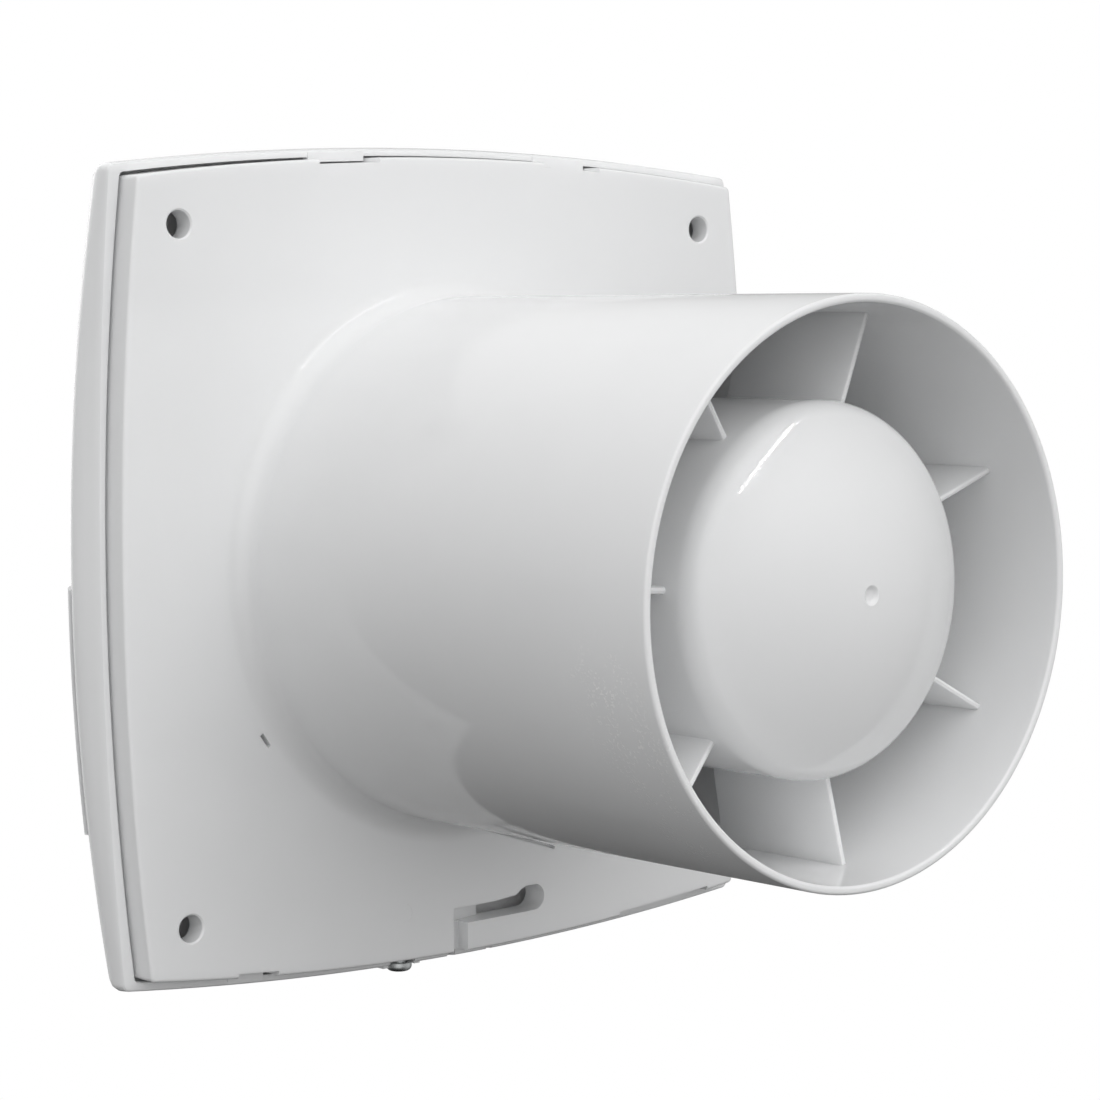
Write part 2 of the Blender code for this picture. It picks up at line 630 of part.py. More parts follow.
def make_coils():
    """One bobbin sleeve and one wound coil on each pole."""
    half_stack = (STACK_FRONT_Z - STACK_REAR_Z) / 2
    middle_z = (STACK_FRONT_Z + STACK_REAR_Z) / 2
    sleeve = 0.7 * MM
    inner_across = POLE_HALF + GAP
    inner_along = half_stack + GAP
    across = inner_across + sleeve
    along = inner_along + sleeve
    for pole in range(POLES):
        turn = pole * 2 * math.pi / POLES
        holder = bpy.data.objects.new(f"pole_{pole + 1}", None)
        holder.parent = WALL
        holder.location = (0, 0, middle_z)
        holder.rotation_euler = (0, math.pi / 2, turn)
        PARTS.objects.link(holder)
        outside = rounded_loop(along, across, 0.6 * MM, 1)
        inside = rounded_loop(inner_along, inner_across, 0.3 * MM, 1)
        flat_outline(f"coil_bobbin_{pole + 1}", "bobbin", [outside, inside],
                     COIL_RADIUS - 1.3 * MM, COIL_RADIUS + 2.5 * MM, parent=holder)
        curve = bpy.data.curves.new(f"coil_{pole + 1}", "CURVE")
        curve.dimensions = "3D"
        curve.bevel_depth = COIL_WIRE
        curve.bevel_resolution = 2
        spline = curve.splines.new("POLY")
        reach = COIL_WIRE + GAP
        loop = rounded_loop(along + reach, across + reach, reach + 0.8 * MM)
        spline.points.add(len(loop) - 1)
        for point, (x, y) in zip(spline.points, loop):
            point.co = (x, y, 0, 1)
        spline.use_cyclic_u = True
        add(f"coil_{pole + 1}", curve, "copper", at=(0, 0, COIL_RADIUS), parent=holder)


def make_rotor():
    core = [(SHAFT_RADIUS + GAP, -54.4), (12.2 * MM, -54.4), (12.2 * MM, -56.0), (ROTOR_RADIUS, -56.0),
            (ROTOR_RADIUS, -76.0), (12.2 * MM, -76.0), (12.2 * MM, -77.6), (SHAFT_RADIUS + GAP, -77.6)]
    turned("rotor_core", "laminations", [(radius, z * MM) for radius, z in core], 32, parent=SPIN)
    chamfer = 0.4 * MM
    shaft = [(0.0, SHAFT_FRONT_Z), (SHAFT_RADIUS - chamfer, SHAFT_FRONT_Z),
             (SHAFT_RADIUS, SHAFT_FRONT_Z - chamfer), (SHAFT_RADIUS, SHAFT_REAR_Z + chamfer),
             (SHAFT_RADIUS - chamfer, SHAFT_REAR_Z), (0.0, SHAFT_REAR_Z)]
    turned("shaft", "steel", shaft, 20, parent=SPIN)


def make_bolts():
    """Two long bolts hold the brackets and the stator in the cup."""
    for step, angle in enumerate(bolt_angles()):
        at = (BOLT_RADIUS * math.cos(angle), BOLT_RADIUS * math.sin(angle), 0)
        under = BOLT_HEAD_Z - 2.3 * MM
        profile = [(0.0, BOLT_HEAD_Z), (2.2 * MM, BOLT_HEAD_Z - 0.1 * MM), (2.6 * MM, BOLT_HEAD_Z - 0.7 * MM),
                   (2.6 * MM, under), (BOLT_SHANK, under), (BOLT_SHANK, BOLT_TIP_Z + 0.8 * MM),
                   (0.0, BOLT_TIP_Z)]
        turned(f"motor_bolt_{step + 1}", "zinc", profile, 14, at=at)


# ---------------------------------------------------------------- impeller

def blade_grid(bm, turn):
    """One twisted, cambered blade as an open sheet, from inside the hub wall to the tip."""
    stations, chords = 5, 5
    rows = []
    for i in range(stations):
        share = i / (stations - 1)
        radius = HUB_RADIUS - 0.9 * MM + share * (BLADE_TIP - HUB_RADIUS + 0.9 * MM)
        pitch = math.radians(42 - 15 * share)
        chord = (23 + 5 * share) * MM
        row = []
        for j in range(chords):
            s = j / (chords - 1) - 0.5
            camber = 1.9 * MM * (1 - 4 * s * s)
            round_by = (s * chord * math.cos(pitch) - camber * math.sin(pitch)) / radius
            z = BLADE_MIDDLE_Z + s * chord * math.sin(pitch) + camber * math.cos(pitch)
            angle = turn + round_by + 0.10 * share
            row.append(bm.verts.new((radius * math.cos(angle), radius * math.sin(angle), z)))
        rows.append(row)
    for a, b in zip(rows, rows[1:]):
        for j in range(chords - 1):
            bm.faces.new((a[j], a[j + 1], b[j + 1], b[j]))


def make_impeller():
    bore = SHAFT_RADIUS + GAP
    hub = [(bore, -4.6), (20.0 * MM, -5.2), (27.6 * MM, -7.6), (30.4 * MM, -11.0), (HUB_RADIUS, -14.5),
           (HUB_RADIUS, -34.0), (29.4 * MM, -34.0), (29.4 * MM, -14.6), (26.6 * MM, -9.8), (19.5 * MM, -7.2),
           (6.6 * MM, -6.9), (6.2 * MM, -27.0), (bore, -27.0)]
    impeller = turned("impeller", "impeller_abs", [(r, z * MM) for r, z in hub], 40, parent=SPIN)
    blades = []
    for step in range(BLADES):
        bm = bmesh.new()
        blade_grid(bm, step * 2 * math.pi / BLADES)
        blade = add(f"blade_{step}", mesh_from(bm, f"blade_{step}"), "tool", parent=SPIN)
        thick = blade.modifiers.new("thickness", "SOLIDIFY")
        thick.thickness = 1.5 * MM
        thick.offset = 0
        blades.append(blade)
    boolean(impeller, "UNION", blades)
    ring("push_on_clip", "zinc", bore, 6.0 * MM, -3.3 * MM, -4.2 * MM, 16, parent=SPIN)


# ---------------------------------------------------------------- wiring compartment and fasteners

def make_terminals():
    half = Vector((10.5, 6.0, 2.2)) * MM
    block = box("terminal_block", "terminal_nylon", TERMINAL - half, TERMINAL + half, 0.5 * MM)
    cuts = []
    pitch = 10.0 * MM
    for step, x in enumerate((-pitch / 2, pitch / 2)):
        at = TERMINAL + Vector((x, 0, 0))
        cuts.append(rod(f"wire_bore_{step}", "tool", 1.4 * MM, at + Vector((0, -8 * MM, -0.6 * MM)),
                        at + Vector((0, 8 * MM, -0.6 * MM)), 12))
        for end, y in (("low", -3.0), ("high", 3.0)):
            seat = at + Vector((0, y * MM, 0))
            cuts.append(rod(f"screw_bore_{step}_{end}", "tool", 1.7 * MM, seat,
                            seat + Vector((0, 0, 4 * MM)), 12))
            head = [(0.0, 2.0), (1.4, 2.0), (1.4, 1.1), (0.0, 0.9)]
            turned(f"terminal_screw_{2 * step + (2 if y > 0 else 1)}", "brass",
                   [(r * MM, z * MM) for r, z in head], 12, at=seat)
    boolean(block, "DIFFERENCE", cuts)


def make_cable_clamp():
    half = Vector((2.2, 7.2, 1.0)) * MM
    clamp = box("cable_clamp", "terminal_nylon", CLAMP - half, CLAMP + half, 0.4 * MM)
    cuts = []
    for step, y in enumerate((-5.0, 5.0)):
        at = CLAMP + Vector((0, y * MM, 0))
        cuts.append(rod(f"clamp_hole_{step}", "tool", 1.3 * MM, at - Vector((0, 0, 3 * MM)),
                        at + Vector((0, 0, 3 * MM)), 12))
        screw = [(0.0, 2.0), (1.5, 1.9), (1.9, 1.3), (0.9, 1.3), (0.9, -2.6), (0.0, -3.1)]
        turned(f"clamp_screw_{step + 1}", "zinc", [(r * MM, z * MM) for r, z in screw], 12, at=at)
    boolean(clamp, "DIFFERENCE", cuts)


def make_cover_screw():
    """The screw under the frame that locks the front to the casing. Its head hangs below."""
    profile = [(0.0, 9.0), (1.25, 8.4), (1.25, 0.0), (2.45, 0.0), (2.45, -1.0), (1.7, -1.6), (0.0, -1.8)]
    at = (COVER_SCREW.x, -(PLATE_HALF + PLATE_BULGE + 1.1 * MM), COVER_SCREW.z)
    screw = turned("cover_screw", "zinc", [(r * MM, z * MM) for r, z in profile], 16, at=at,
                   turn=(-math.pi / 2, 0, 0))
    slot = box("cover_screw_slot", "tool", Vector((-3, -0.35, -3.5)) * MM, Vector((3, 0.35, -1.5)) * MM)
    slot.location = Vector(at) + Vector((0, -2.1 * MM, 0))
    slot.rotation_euler = (-math.pi / 2, 0, 0)
    boolean(screw, "DIFFERENCE", [slot])


make_rear_casing()
make_front_frame()
make_fascia()
make_motor_mount()
make_brackets()
make_bearings()
make_stator()
make_coils()
make_rotor()
make_bolts()
make_impeller()
make_terminals()
make_cable_clamp()
make_cover_screw()
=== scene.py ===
"""Looks for the bathroom extractor fan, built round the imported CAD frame.

The casing, front frame, fascia, motor cup, impeller and cover screw are redrawn with fine surfaces.
The other pieces keep their CAD meshes and get procedural materials.

Shapes are drawn in millimetres as on the wall: x to the side, y up, z out of the wall into the
room. TO_WORLD carries that drawing into the frame's metres, where drawn z is the world's -Y.
"""

import math

import bmesh
import bpy
from mathutils import Matrix, Vector


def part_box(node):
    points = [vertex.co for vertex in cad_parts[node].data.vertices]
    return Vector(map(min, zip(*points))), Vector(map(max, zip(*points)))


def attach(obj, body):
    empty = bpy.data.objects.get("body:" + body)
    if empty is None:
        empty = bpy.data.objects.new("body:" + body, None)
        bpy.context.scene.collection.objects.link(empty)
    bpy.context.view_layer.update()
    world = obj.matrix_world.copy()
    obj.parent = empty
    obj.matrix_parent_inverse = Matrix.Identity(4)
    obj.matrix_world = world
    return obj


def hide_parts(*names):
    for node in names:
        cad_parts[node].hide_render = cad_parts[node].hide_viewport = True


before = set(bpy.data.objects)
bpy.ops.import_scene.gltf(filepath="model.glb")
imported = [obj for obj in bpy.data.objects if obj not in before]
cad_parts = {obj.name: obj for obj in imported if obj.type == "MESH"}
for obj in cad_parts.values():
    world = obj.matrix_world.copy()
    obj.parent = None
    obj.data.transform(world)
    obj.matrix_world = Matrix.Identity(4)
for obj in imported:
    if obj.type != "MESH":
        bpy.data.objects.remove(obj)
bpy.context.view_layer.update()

MM = 0.001
TO_WORLD = Matrix.Rotation(math.pi / 2, 4, "X") @ Matrix.Scale(MM, 4)


def drawn_box(node):
    """Lowest and highest corner of a CAD node, in the drawing's millimetres."""
    low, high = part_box(node)
    return Vector((low.x, low.z, -high.y)) / MM, Vector((high.x, high.z, -low.y)) / MM


CASING_LOW, CASING_HIGH = drawn_box("rear_casing")
CUP_LOW, CUP_HIGH = drawn_box("motor_mount")
IMPELLER_LOW, IMPELLER_HIGH = drawn_box("impeller")
SCREW_LOW, SCREW_HIGH = drawn_box("cover_screw")

# Rear casing. A bulge is how far the middle of a side bows out past its ends.
PLATE_BULGE = 4.4
PLATE_HALF = CASING_HIGH.x - PLATE_BULGE
PLATE_THICK = 2.6
TRAY_DEPTH = CASING_HIGH.z
TRAY_WALL = 1.8
SPIGOT_END = CASING_LOW.z
SPIGOT_RADIUS = 49.5
BORE_RADIUS = 48.0
FOOT_FILLET = 4.5
SCREW_PITCH_HALF = 62.5
SCREW_HOLE_RADIUS = 2.5
INLET_SEAT_RADIUS = 52.5

# Front frame. A snap tab has its left and right end, and 1 for the top edge or -1 for the bottom.
FRAME_LIP = 4.5
FRAME_FRONT = drawn_box("front_frame")[1].z
FRAME_SKIN = 1.6
SNAP_TABS = ((18.0, 31.7, 1), (-36.0, -22.0, 1), (43.5, 52.4, -1), (-64.0, -40.0, -1))
SCREW_X = (SCREW_LOW.x + SCREW_HIGH.x) / 2
SCREW_Z = (SCREW_LOW.z + SCREW_HIGH.z) / 2

# Front panel.
POSTS = [(x, y) for x in (-58.0, 58.0) for y in (-50.0, 50.0)]
POST_RADIUS = 2.2
POST_HOLE_RADIUS = 2.8
POST_TIP = drawn_box("fascia_panel")[0].z

# Motor cup.
CUP_RADIUS = 31.9
CUP_WALL = 1.6
CUP_MOUTH = CUP_HIGH.z
CUP_APEX = CUP_LOW.z
CUP_SHOULDER = CUP_APEX + 13.0
DOME_FOOT_RADIUS = 29.4
GATE_MARK_RADIUS = 2.3
VANES = 7
VANE_START = 3.5
VANE_THICK = 1.25

# Impeller.
BLADES = 8
RIBS = 8
HUB_RADIUS = 31.0
BLADE_TIP = (IMPELLER_HIGH.x - IMPELLER_LOW.x) / 2
BLADE_MIDDLE = -21.0

# Floor and camera: distances in metres, lens and sensor in millimetres.
FLOOR_Z = -0.45
AZIMUTH = math.radians(139.3637)
ELEVATION = math.radians(4.5601)
ROLL = math.radians(-0.4895)
CAMERA_DISTANCE = 0.60085
AIM_RIGHT = 0.01699
AIM_UP = 0.00162
LENS = 103.808
SENSOR = 36.0

WHITE = (0.89, 0.895, 0.90)


# ---------------------------------------------------------------- outlines, lofts and cuts

def outline_angles(per_quarter=88, spread=0.14):
    """Angles round an outline, closer together at the corners."""
    angles = []
    for quarter in range(4):
        for step in range(per_quarter):
            u = 2 * step / per_quarter - 1
            share = spread * u + (1 - spread) * u ** 3
            angles.append(math.radians(90 * quarter + 45 + 45 * share))
    return angles


ANGLES = outline_angles()


def bowed_square(half, bulge, corner=0.9, crown=None, flatter=0.0):
    """A square with sides bowed out as shallow arcs and a true radius at each corner. A crown given
    bows the top and bottom differently, and flatter lowers the corners by that much."""
    points = []
    for angle in ANGLES:
        upright = abs(math.sin(angle)) > abs(math.cos(angle))
        bow = crown if crown and upright else bulge
        side = (half * half + bow * bow) / (2 * bow)
        middle = half + bow - side
        inset = (middle + math.sqrt(2 * (side - corner) ** 2 - middle ** 2)) / 2
        meeting = math.atan2(inset * side,
                             middle * (side - corner) + (inset - middle) * side)
        lean = math.acos(min(1.0, max(abs(math.cos(angle)), abs(math.sin(angle)))))
        if lean < meeting:
            across = middle * math.sin(lean)
            reach = middle * math.cos(lean) + math.sqrt(side ** 2 - across ** 2)
        else:
            along = inset * (math.cos(lean) + math.sin(lean))
            reach = along + math.sqrt(along ** 2 - 2 * inset ** 2 + corner ** 2)
        points.append((reach * math.cos(angle), reach * math.sin(angle) * (1 - flatter / half)))
    return points


def circle(radius):
    """A circle with its points at the same angles as the bowed squares."""
    return [(radius * math.cos(angle), radius * math.sin(angle)) for angle in ANGLES]


def skin(bm, rows, wrap=False):
    """Joins rows of vertices with four-sided faces, and the last row to the first if they wrap."""
    pairs = list(zip(rows, rows[1:]))
    if wrap:
        pairs.append((rows[-1], rows[0]))
    for a, b in pairs:
        for i in range(len(a)):
            j = (i + 1) % len(a)
            bm.faces.new((a[i], a[j], b[j], b[i]))


def cap(bm, rows):
    """Closes the first and the last row with one face each."""
    bm.faces.new(rows[0])
    bm.faces.new(rows[-1])


def finish_mesh(bm, name):
    """Turns a bmesh into a linked object."""
    bmesh.ops.recalc_face_normals(bm, faces=bm.faces)
    data = bpy.data.meshes.new(name)
    bm.to_mesh(data)
    bm.free()
    made = bpy.data.objects.new(name, data)
    bpy.context.scene.collection.objects.link(made)
    return made


def loft(name, sections, ring=True):
    """Skins a list of (outline, z). A ring joins the last section to the first; else both are
    capped."""
    bm = bmesh.new()
    rows = [[bm.verts.new((x, y, z)) for x, y in outline] for outline, z in sections]
    if not ring:
        cap(bm, rows)
    skin(bm, rows, wrap=ring)
    return finish_mesh(bm, name)


def prism(name, outline, low, high):
    """A plate of one outline between two heights."""
    return loft(name, [(outline, low), (outline, high)], ring=False)


def block(name, low, high):
    """A box between two corners."""
    (x0, y0, z0), (x1, y1, z1) = low, high
    return prism(name, [(x0, y0), (x1, y0), (x1, y1), (x0, y1)], z0, z1)


def rod(name, radius, start, end, steps=48, end_radius=None):
    """A cylinder or a cone between two points."""
    start, end = Vector(start), Vector(end)
    along = end - start
    bm = bmesh.new()
    bmesh.ops.create_cone(bm, cap_ends=True, segments=steps, radius1=radius, depth=along.length,
                          radius2=radius if end_radius is None else end_radius)
    turn = along.to_track_quat("Z", "Y").to_matrix().to_4x4()
    bmesh.ops.transform(bm, matrix=Matrix.Translation((start + end) / 2) @ turn, verts=bm.verts)
    return finish_mesh(bm, name)


def turned(name, profile, steps=96):
    """Turns (radius, z) points about z. A profile that starts on the axis also ends on it."""
    bm = bmesh.new()
    closed = profile[0][0] > 0
    turns = [2 * math.pi * i / steps for i in range(steps)]
    rings = []
    for radius, z in profile:
        if radius == 0:
            rings.append([bm.verts.new((0, 0, z))] * steps)
        else:
            rings.append([bm.verts.new((radius * math.cos(turn), radius * math.sin(turn), z))
                          for turn in turns])
    pairs = list(zip(rings, rings[1:]))
    if closed:
        pairs.append((rings[-1], rings[0]))
    for a, b in pairs:
        for i in range(steps):
            j = (i + 1) % steps
            corners = []
            for corner in (a[i], a[j], b[j], b[i]):
                if corner not in corners:
                    corners.append(corner)
            if len(corners) > 2:
                bm.faces.new(corners)
    return finish_mesh(bm, name)


def arc(centre, radius, start, stop, steps=6):
    """Points of an arc, in degrees, as (across, z)."""
    points = []
    for i in range(steps + 1):
        angle = math.radians(start + (stop - start) * i / steps)
        points.append((centre[0] + radius * math.cos(angle), centre[1] + radius * math.sin(angle)))
    return points


def carve(piece, joined=(), cut=(), within=()):
    """Joins, cuts and trims with throwaway tools, and keeps the result as the piece's own mesh."""
    for operation, tools in (("UNION", joined), ("DIFFERENCE", cut), ("INTERSECT", within)):
        for tool in tools:
            step = piece.modifiers.new(operation.lower(), "BOOLEAN")
            step.operation = operation
            step.solver = "EXACT"
            step.object = tool
    keep_result(piece)
    for tool in (*joined, *cut, *within):
        bpy.data.objects.remove(tool, do_unlink=True)
    return piece


def keep_result(piece):
    """Makes what a piece's modifiers give its own mesh."""
    graph = bpy.context.evaluated_depsgraph_get()
    graph.update()
    result = bpy.data.meshes.new_from_object(piece.evaluated_get(graph))
    piece.modifiers.clear()
    piece.data = result


def place(piece, body, material, replaced=(), angle=30):
    """Carries a drawn piece into the frame, shades it and hangs it on its body. Edges sharper than
    the angle, in degrees, stay sharp."""
    piece.data.transform(TO_WORLD)
    piece.data.shade_smooth()
    piece.data.set_sharp_from_angle(angle=math.radians(angle))
    piece.data.materials.clear()
    piece.data.materials.append(material)
    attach(piece, body)
    if replaced:
        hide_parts(*replaced)
    return piece


# ---------------------------------------------------------------- materials

class Nodes:
    """Short calls for building a node tree."""

    def __init__(self, tree):
        self.tree = tree

    def node(self, kind, **values):
        made = self.tree.nodes.new(kind)
        for key, value in values.items():
            setattr(made, key, value)
        return made

    def join(self, source, target):
        self.tree.links.new(source, target)

    def feed(self, target, value):
        """Sets a socket to a number, a vector or a colour, or joins another socket to it."""
        if isinstance(value, (int, float, tuple)):
            target.default_value = value
        else:
            self.join(value, target)

    def math(self, operation, *values):
        made = self.node("ShaderNodeMath", operation=operation)
        for socket, value in zip(made.inputs, values):
            self.feed(socket, value)
        return made.outputs["Value"]


class Shader(Nodes):
    """A Principled material with short calls for the nodes round it."""

    def __init__(self, name, colour, roughness, metallic=0.0):
        self.material = bpy.data.materials.new(name)
        self.material.use_nodes = True
        super().__init__(self.material.node_tree)
        self.main = self.tree.nodes["Principled BSDF"]
        self.main.inputs["Base Color"].default_value = (*colour, 1)
        self.main.inputs["Roughness"].default_value = roughness
        self.main.inputs["Metallic"].default_value = metallic
        self.colour = colour
        self.point = self.node("ShaderNodeTexCoord").outputs["Object"]

    def noise(self, scale, detail=2.0, point=None):
        made = self.node("ShaderNodeTexNoise")
        made.inputs["Scale"].default_value = scale
        made.inputs["Detail"].default_value = detail
        self.join(point or self.point, made.inputs["Vector"])
        return made.outputs["Fac"]

    def range(self, value, low, high, to_low, to_high):
        """Carries low..high over to to_low..to_high, held at both ends."""
        made = self.node("ShaderNodeMapRange")
        made.inputs["From Min"].default_value = low
        made.inputs["From Max"].default_value = high
        made.inputs["To Min"].default_value = to_low
        made.inputs["To Max"].default_value = to_high
        self.join(value, made.inputs["Value"])
        return made.outputs["Result"]

    def mix(self, share, a, b):
        """Colour a where the share is 0 and b where it is 1."""
        made = self.node("ShaderNodeMix", data_type="RGBA")
        self.join(share, made.inputs[0])
        self.feed(made.inputs[6], a)
        self.feed(made.inputs[7], b)
        return made.outputs[2]

    def shade(self, factor):
        """The material's own colour, darker or lighter."""
        return (*(min(1.0, part * factor) for part in self.colour), 1.0)

    def bump(self, height, strength, distance, under=None):
        made = self.node("ShaderNodeBump")
        made.inputs["Strength"].default_value = strength
        made.inputs["Distance"].default_value = distance
        self.join(height, made.inputs["Height"])
        if under:
            self.join(under, made.inputs["Normal"])
        return made.outputs["Normal"]

    def set(self, **sockets):
        """Feeds sockets of the Principled node, named with underscores for spaces."""
        for name, value in sockets.items():
            self.feed(self.main.inputs[name.replace("_", " ")], value)


def moulded(name, colour, roughness, peel=0.10, waviness=0.25, depth=0.0):
    """Injection-moulded plastic: faint mottling, orange peel and the slow ripple of a thin wall.
    depth is how far it behaves as a milky body that light passes into."""
    made = Shader(name, colour, roughness)
    made.set(Subsurface_Weight=depth, Subsurface_Scale=0.002, Subsurface_Radius=(1, 1, 1))
    cloud = made.noise(22, 3)
    grain = made.noise(260, 4)
    made.set(Roughness=made.range(grain, 0.3, 0.7, roughness * 0.8, roughness * 1.3))
    tint = made.mix(made.range(cloud, 0.3, 0.7, 0, 1), made.shade(0.975), made.shade(1.01))
    ripple = made.bump(made.noise(34, 1), waviness, 0.0004)
    made.set(Base_Color=tint, Normal=made.bump(made.noise(1500, 2), peel, 0.00003, ripple))
    return made


# Dusty spots on the outside of the spigot, close to its rim: middle and reach, in metres.
DUST_SPOTS = (
    ((0.048, 0.095, -0.013), 0.011),
    ((0.044, 0.098, -0.022), 0.012),
    ((0.039, 0.099, -0.031), 0.012),
    ((0.030, 0.097, -0.040), 0.010),
)


def casing_plastic():
    """The casing's gloss ABS, with the pale dust that the spigot's rim has picked up."""
    made = moulded("casing_abs", WHITE, 0.07, peel=0.04, waviness=0.12, depth=0.35)
    tint, clean = [made.main.inputs[name].links[0].from_socket for name in ("Base Color", "Normal")]
    near = None
    for spot, reach in DUST_SPOTS:
        patch = made.node("ShaderNodeVectorMath", operation="DISTANCE")
        made.join(made.point, patch.inputs[0])
        patch.inputs[1].default_value = spot
        spread = made.range(patch.outputs["Value"], 0.2 * reach, reach, 1.0, 0.0)
        near = spread if near is None else made.math("MAXIMUM", near, spread)
    specks = made.range(made.noise(1900, 4), 0.55, 0.62, 0, 1)
    loose = made.range(made.noise(260, 3), 0.44, 0.54, 0, 1)
    dust = made.math("MULTIPLY", made.math("MULTIPLY", specks, loose), near)
    made.set(Base_Color=made.mix(dust, tint, (1.0, 1.0, 1.0, 1.0)),
             Normal=made.bump(dust, 0.6, 0.00008, clean))
    return made.material


def striped_metal(name, colour, roughness, pitch, direction, depth=0.00006):
    """Metal with fine parallel lines across X, Y or Z: stacked sheets, or turning marks."""
    made = Shader(name, colour, roughness, 1.0)
    parts = made.node("ShaderNodeSeparateXYZ")
    made.join(made.point, parts.inputs["Vector"])
    phase = made.math("MULTIPLY", parts.outputs[direction], 2 * math.pi / pitch)
    wave = made.math("SINE", phase)
    cloud = made.noise(180, 4)
    lines = made.range(wave, -1, 1, 0, 1)
    tint = made.mix(made.math("MULTIPLY", lines, cloud), made.shade(1.15), made.shade(0.60))
    made.set(Base_Color=tint, Normal=made.bump(lines, 0.5, depth))
    made.set(Roughness=made.range(cloud, 0.3, 0.7, roughness - 0.08, roughness + 0.12))
    return made.material


def plated(name, colour, roughness, spangle=900):
    """Pressed or plated metal: fine scratches, a grain and cloudy tone."""
    made = Shader(name, colour, roughness, 1.0)
    stretch = made.node("ShaderNodeMapping")
    stretch.inputs["Scale"].default_value = (1.0, 0.06, 1.0)
    made.join(made.point, stretch.inputs["Vector"])
    scratch = made.noise(3000, 2, stretch.outputs["Vector"])
    cloud = made.noise(120, 4)
    tint = made.mix(made.range(cloud, 0.3, 0.7, 0, 1), made.shade(0.82), made.shade(1.10))
    made.set(Base_Color=tint)
    made.set(Roughness=made.range(scratch, 0.3, 0.7, roughness - 0.1, roughness + 0.14))
    grain = made.bump(made.noise(spangle, 1), 0.15, 0.00003)
    made.set(Normal=made.bump(scratch, 0.2, 0.00002, grain))
    return made.material


def wound_copper():
    """Enamelled wire laid side by side round each pole, with the sheen of varnish. Its colour
    carries painted shade in the grooves between the wires and a painted highlight on their crowns.
    """
    made = Shader("enamelled_copper", (0.62, 0.24, 0.10), 0.26, 0.85)
    size = made.node("ShaderNodeVectorMath", operation="ABSOLUTE")
    made.join(made.point, size.inputs[0])
    parts = made.node("ShaderNodeSeparateXYZ")
    made.join(size.outputs["Vector"], parts.inputs["Vector"])
    outward = made.math("MAXIMUM", parts.outputs["X"], parts.outputs["Z"])
    wire_pitch = 0.00038
    wave = made.math("SINE", made.math("MULTIPLY", outward, 2 * math.pi / wire_pitch))
    wire_relief_and_painted_shade = made.range(wave, -1, 1, 0, 1)
    # Painted shade and painted highlight: the colour is darker in the grooves between the wires and
    # lighter on their crowns, following the wire relief.
    tint = made.mix(wire_relief_and_painted_shade, made.shade(0.40), made.shade(1.25))
    made.set(Base_Color=tint, Normal=made.bump(wire_relief_and_painted_shade, 0.9, 0.00012), Coat_Weight=0.4)
    made.set(Roughness=made.range(made.noise(300, 2), 0.3, 0.7, 0.20, 0.36))
    return made.material


def sintered(name, colour):
    """Porous, oil-soaked bearing metal."""
    made = Shader(name, colour, 0.45, 0.9)
    pores = made.range(made.noise(2600, 3), 0.36, 0.48, 0, 1)
    tint = made.mix(pores, made.shade(0.35), made.shade(1.05))
    made.set(Base_Color=tint, Roughness=made.range(made.noise(400, 2), 0.3, 0.7, 0.35, 0.6))
    made.set(Normal=made.bump(pores, 0.4, 0.00005))
    return made.material


def pressed_fibre():
    """Reddish vulcanised fibre with its short hairs."""
    made = Shader("pressed_fibre", (0.42, 0.17, 0.10), 0.7)
    hairs = made.noise(1800, 6)
    tint = made.mix(made.range(hairs, 0.35, 0.65, 0, 1), made.shade(0.7), made.shade(1.3))
    made.set(Base_Color=tint, Normal=made.bump(hairs, 0.4, 0.00006))
    return made.material


CASING_ABS = casing_plastic()
FRAME_ABS = moulded("frame_abs", WHITE, 0.19, depth=0.35).material
CUP_ABS = moulded("cup_abs", WHITE, 0.04, peel=0.004, waviness=0.03, depth=0.35).material
FASCIA_ABS = moulded("fascia_gloss", (0.84, 0.845, 0.85), 0.08, peel=0.05, waviness=0.10).material
IMPELLER_ABS = moulded("impeller_satin", (0.76, 0.765, 0.77), 0.34, peel=0.2).material
BLACK_NYLON = moulded("bobbin_nylon", (0.025, 0.027, 0.03), 0.45, peel=0.3).material
PALE_NYLON = moulded("terminal_nylon", (0.72, 0.71, 0.66), 0.40, peel=0.3).material
STEEL = plated("pressed_steel", (0.56, 0.57, 0.58), 0.34)
ZINC = plated("zinc_plate", (0.66, 0.68, 0.68), 0.28, spangle=1500)
BRASS = plated("turned_brass", (0.78, 0.58, 0.25), 0.30)
SHAFT_STEEL = striped_metal("ground_steel", (0.62, 0.62, 0.63), 0.22, 0.0007, "Y", 0.00001)
LAMINATIONS = striped_metal("laminations", (0.30, 0.31, 0.33), 0.42, 0.0005, "Y")
COPPER = wound_copper()
BRONZE = sintered("sintered_bronze", (0.50, 0.34, 0.17))
FIBRE = pressed_fibre()


# ---------------------------------------------------------------- rear casing

def plate_outline(inset=0.0):
    """The back plate's outline, or the same drawn in by an inset."""
    return bowed_square(PLATE_HALF - inset, PLATE_BULGE)


def channel_tools():
    """The surface-cable channel in the wall face, deeper towards the opening at its end."""
    shallow, deep = 3.0, 5.0
    leg = [(-0.9, -84.0), (2.5, -84.0), (2.5, -66.8), (-0.9, -66.8)]
    run = [(2.2, -70.0), (2.2, -66.8), (-7.2, -66.7), (-7.2, -69.9)]
    lobe = [(-7.0, -69.9), (-7.0, -66.7), (-13.0, -66.2), (-14.2, -65.3), (-15.6, -64.7),
            *arc((-17.6, -67.15), 2.55, 100, 262, 14), (-16.0, -69.75)]
    ramp = prism("channel_run", run, -2.0, deep)
    for vertex in ramp.data.vertices:
        if vertex.co.z > 0 and vertex.co.x > 0:
            vertex.co.z = shallow
    return [prism("channel_leg", leg, -2.0, shallow), ramp,
            prism("channel_end", lobe, -2.0, TRAY_DEPTH)]


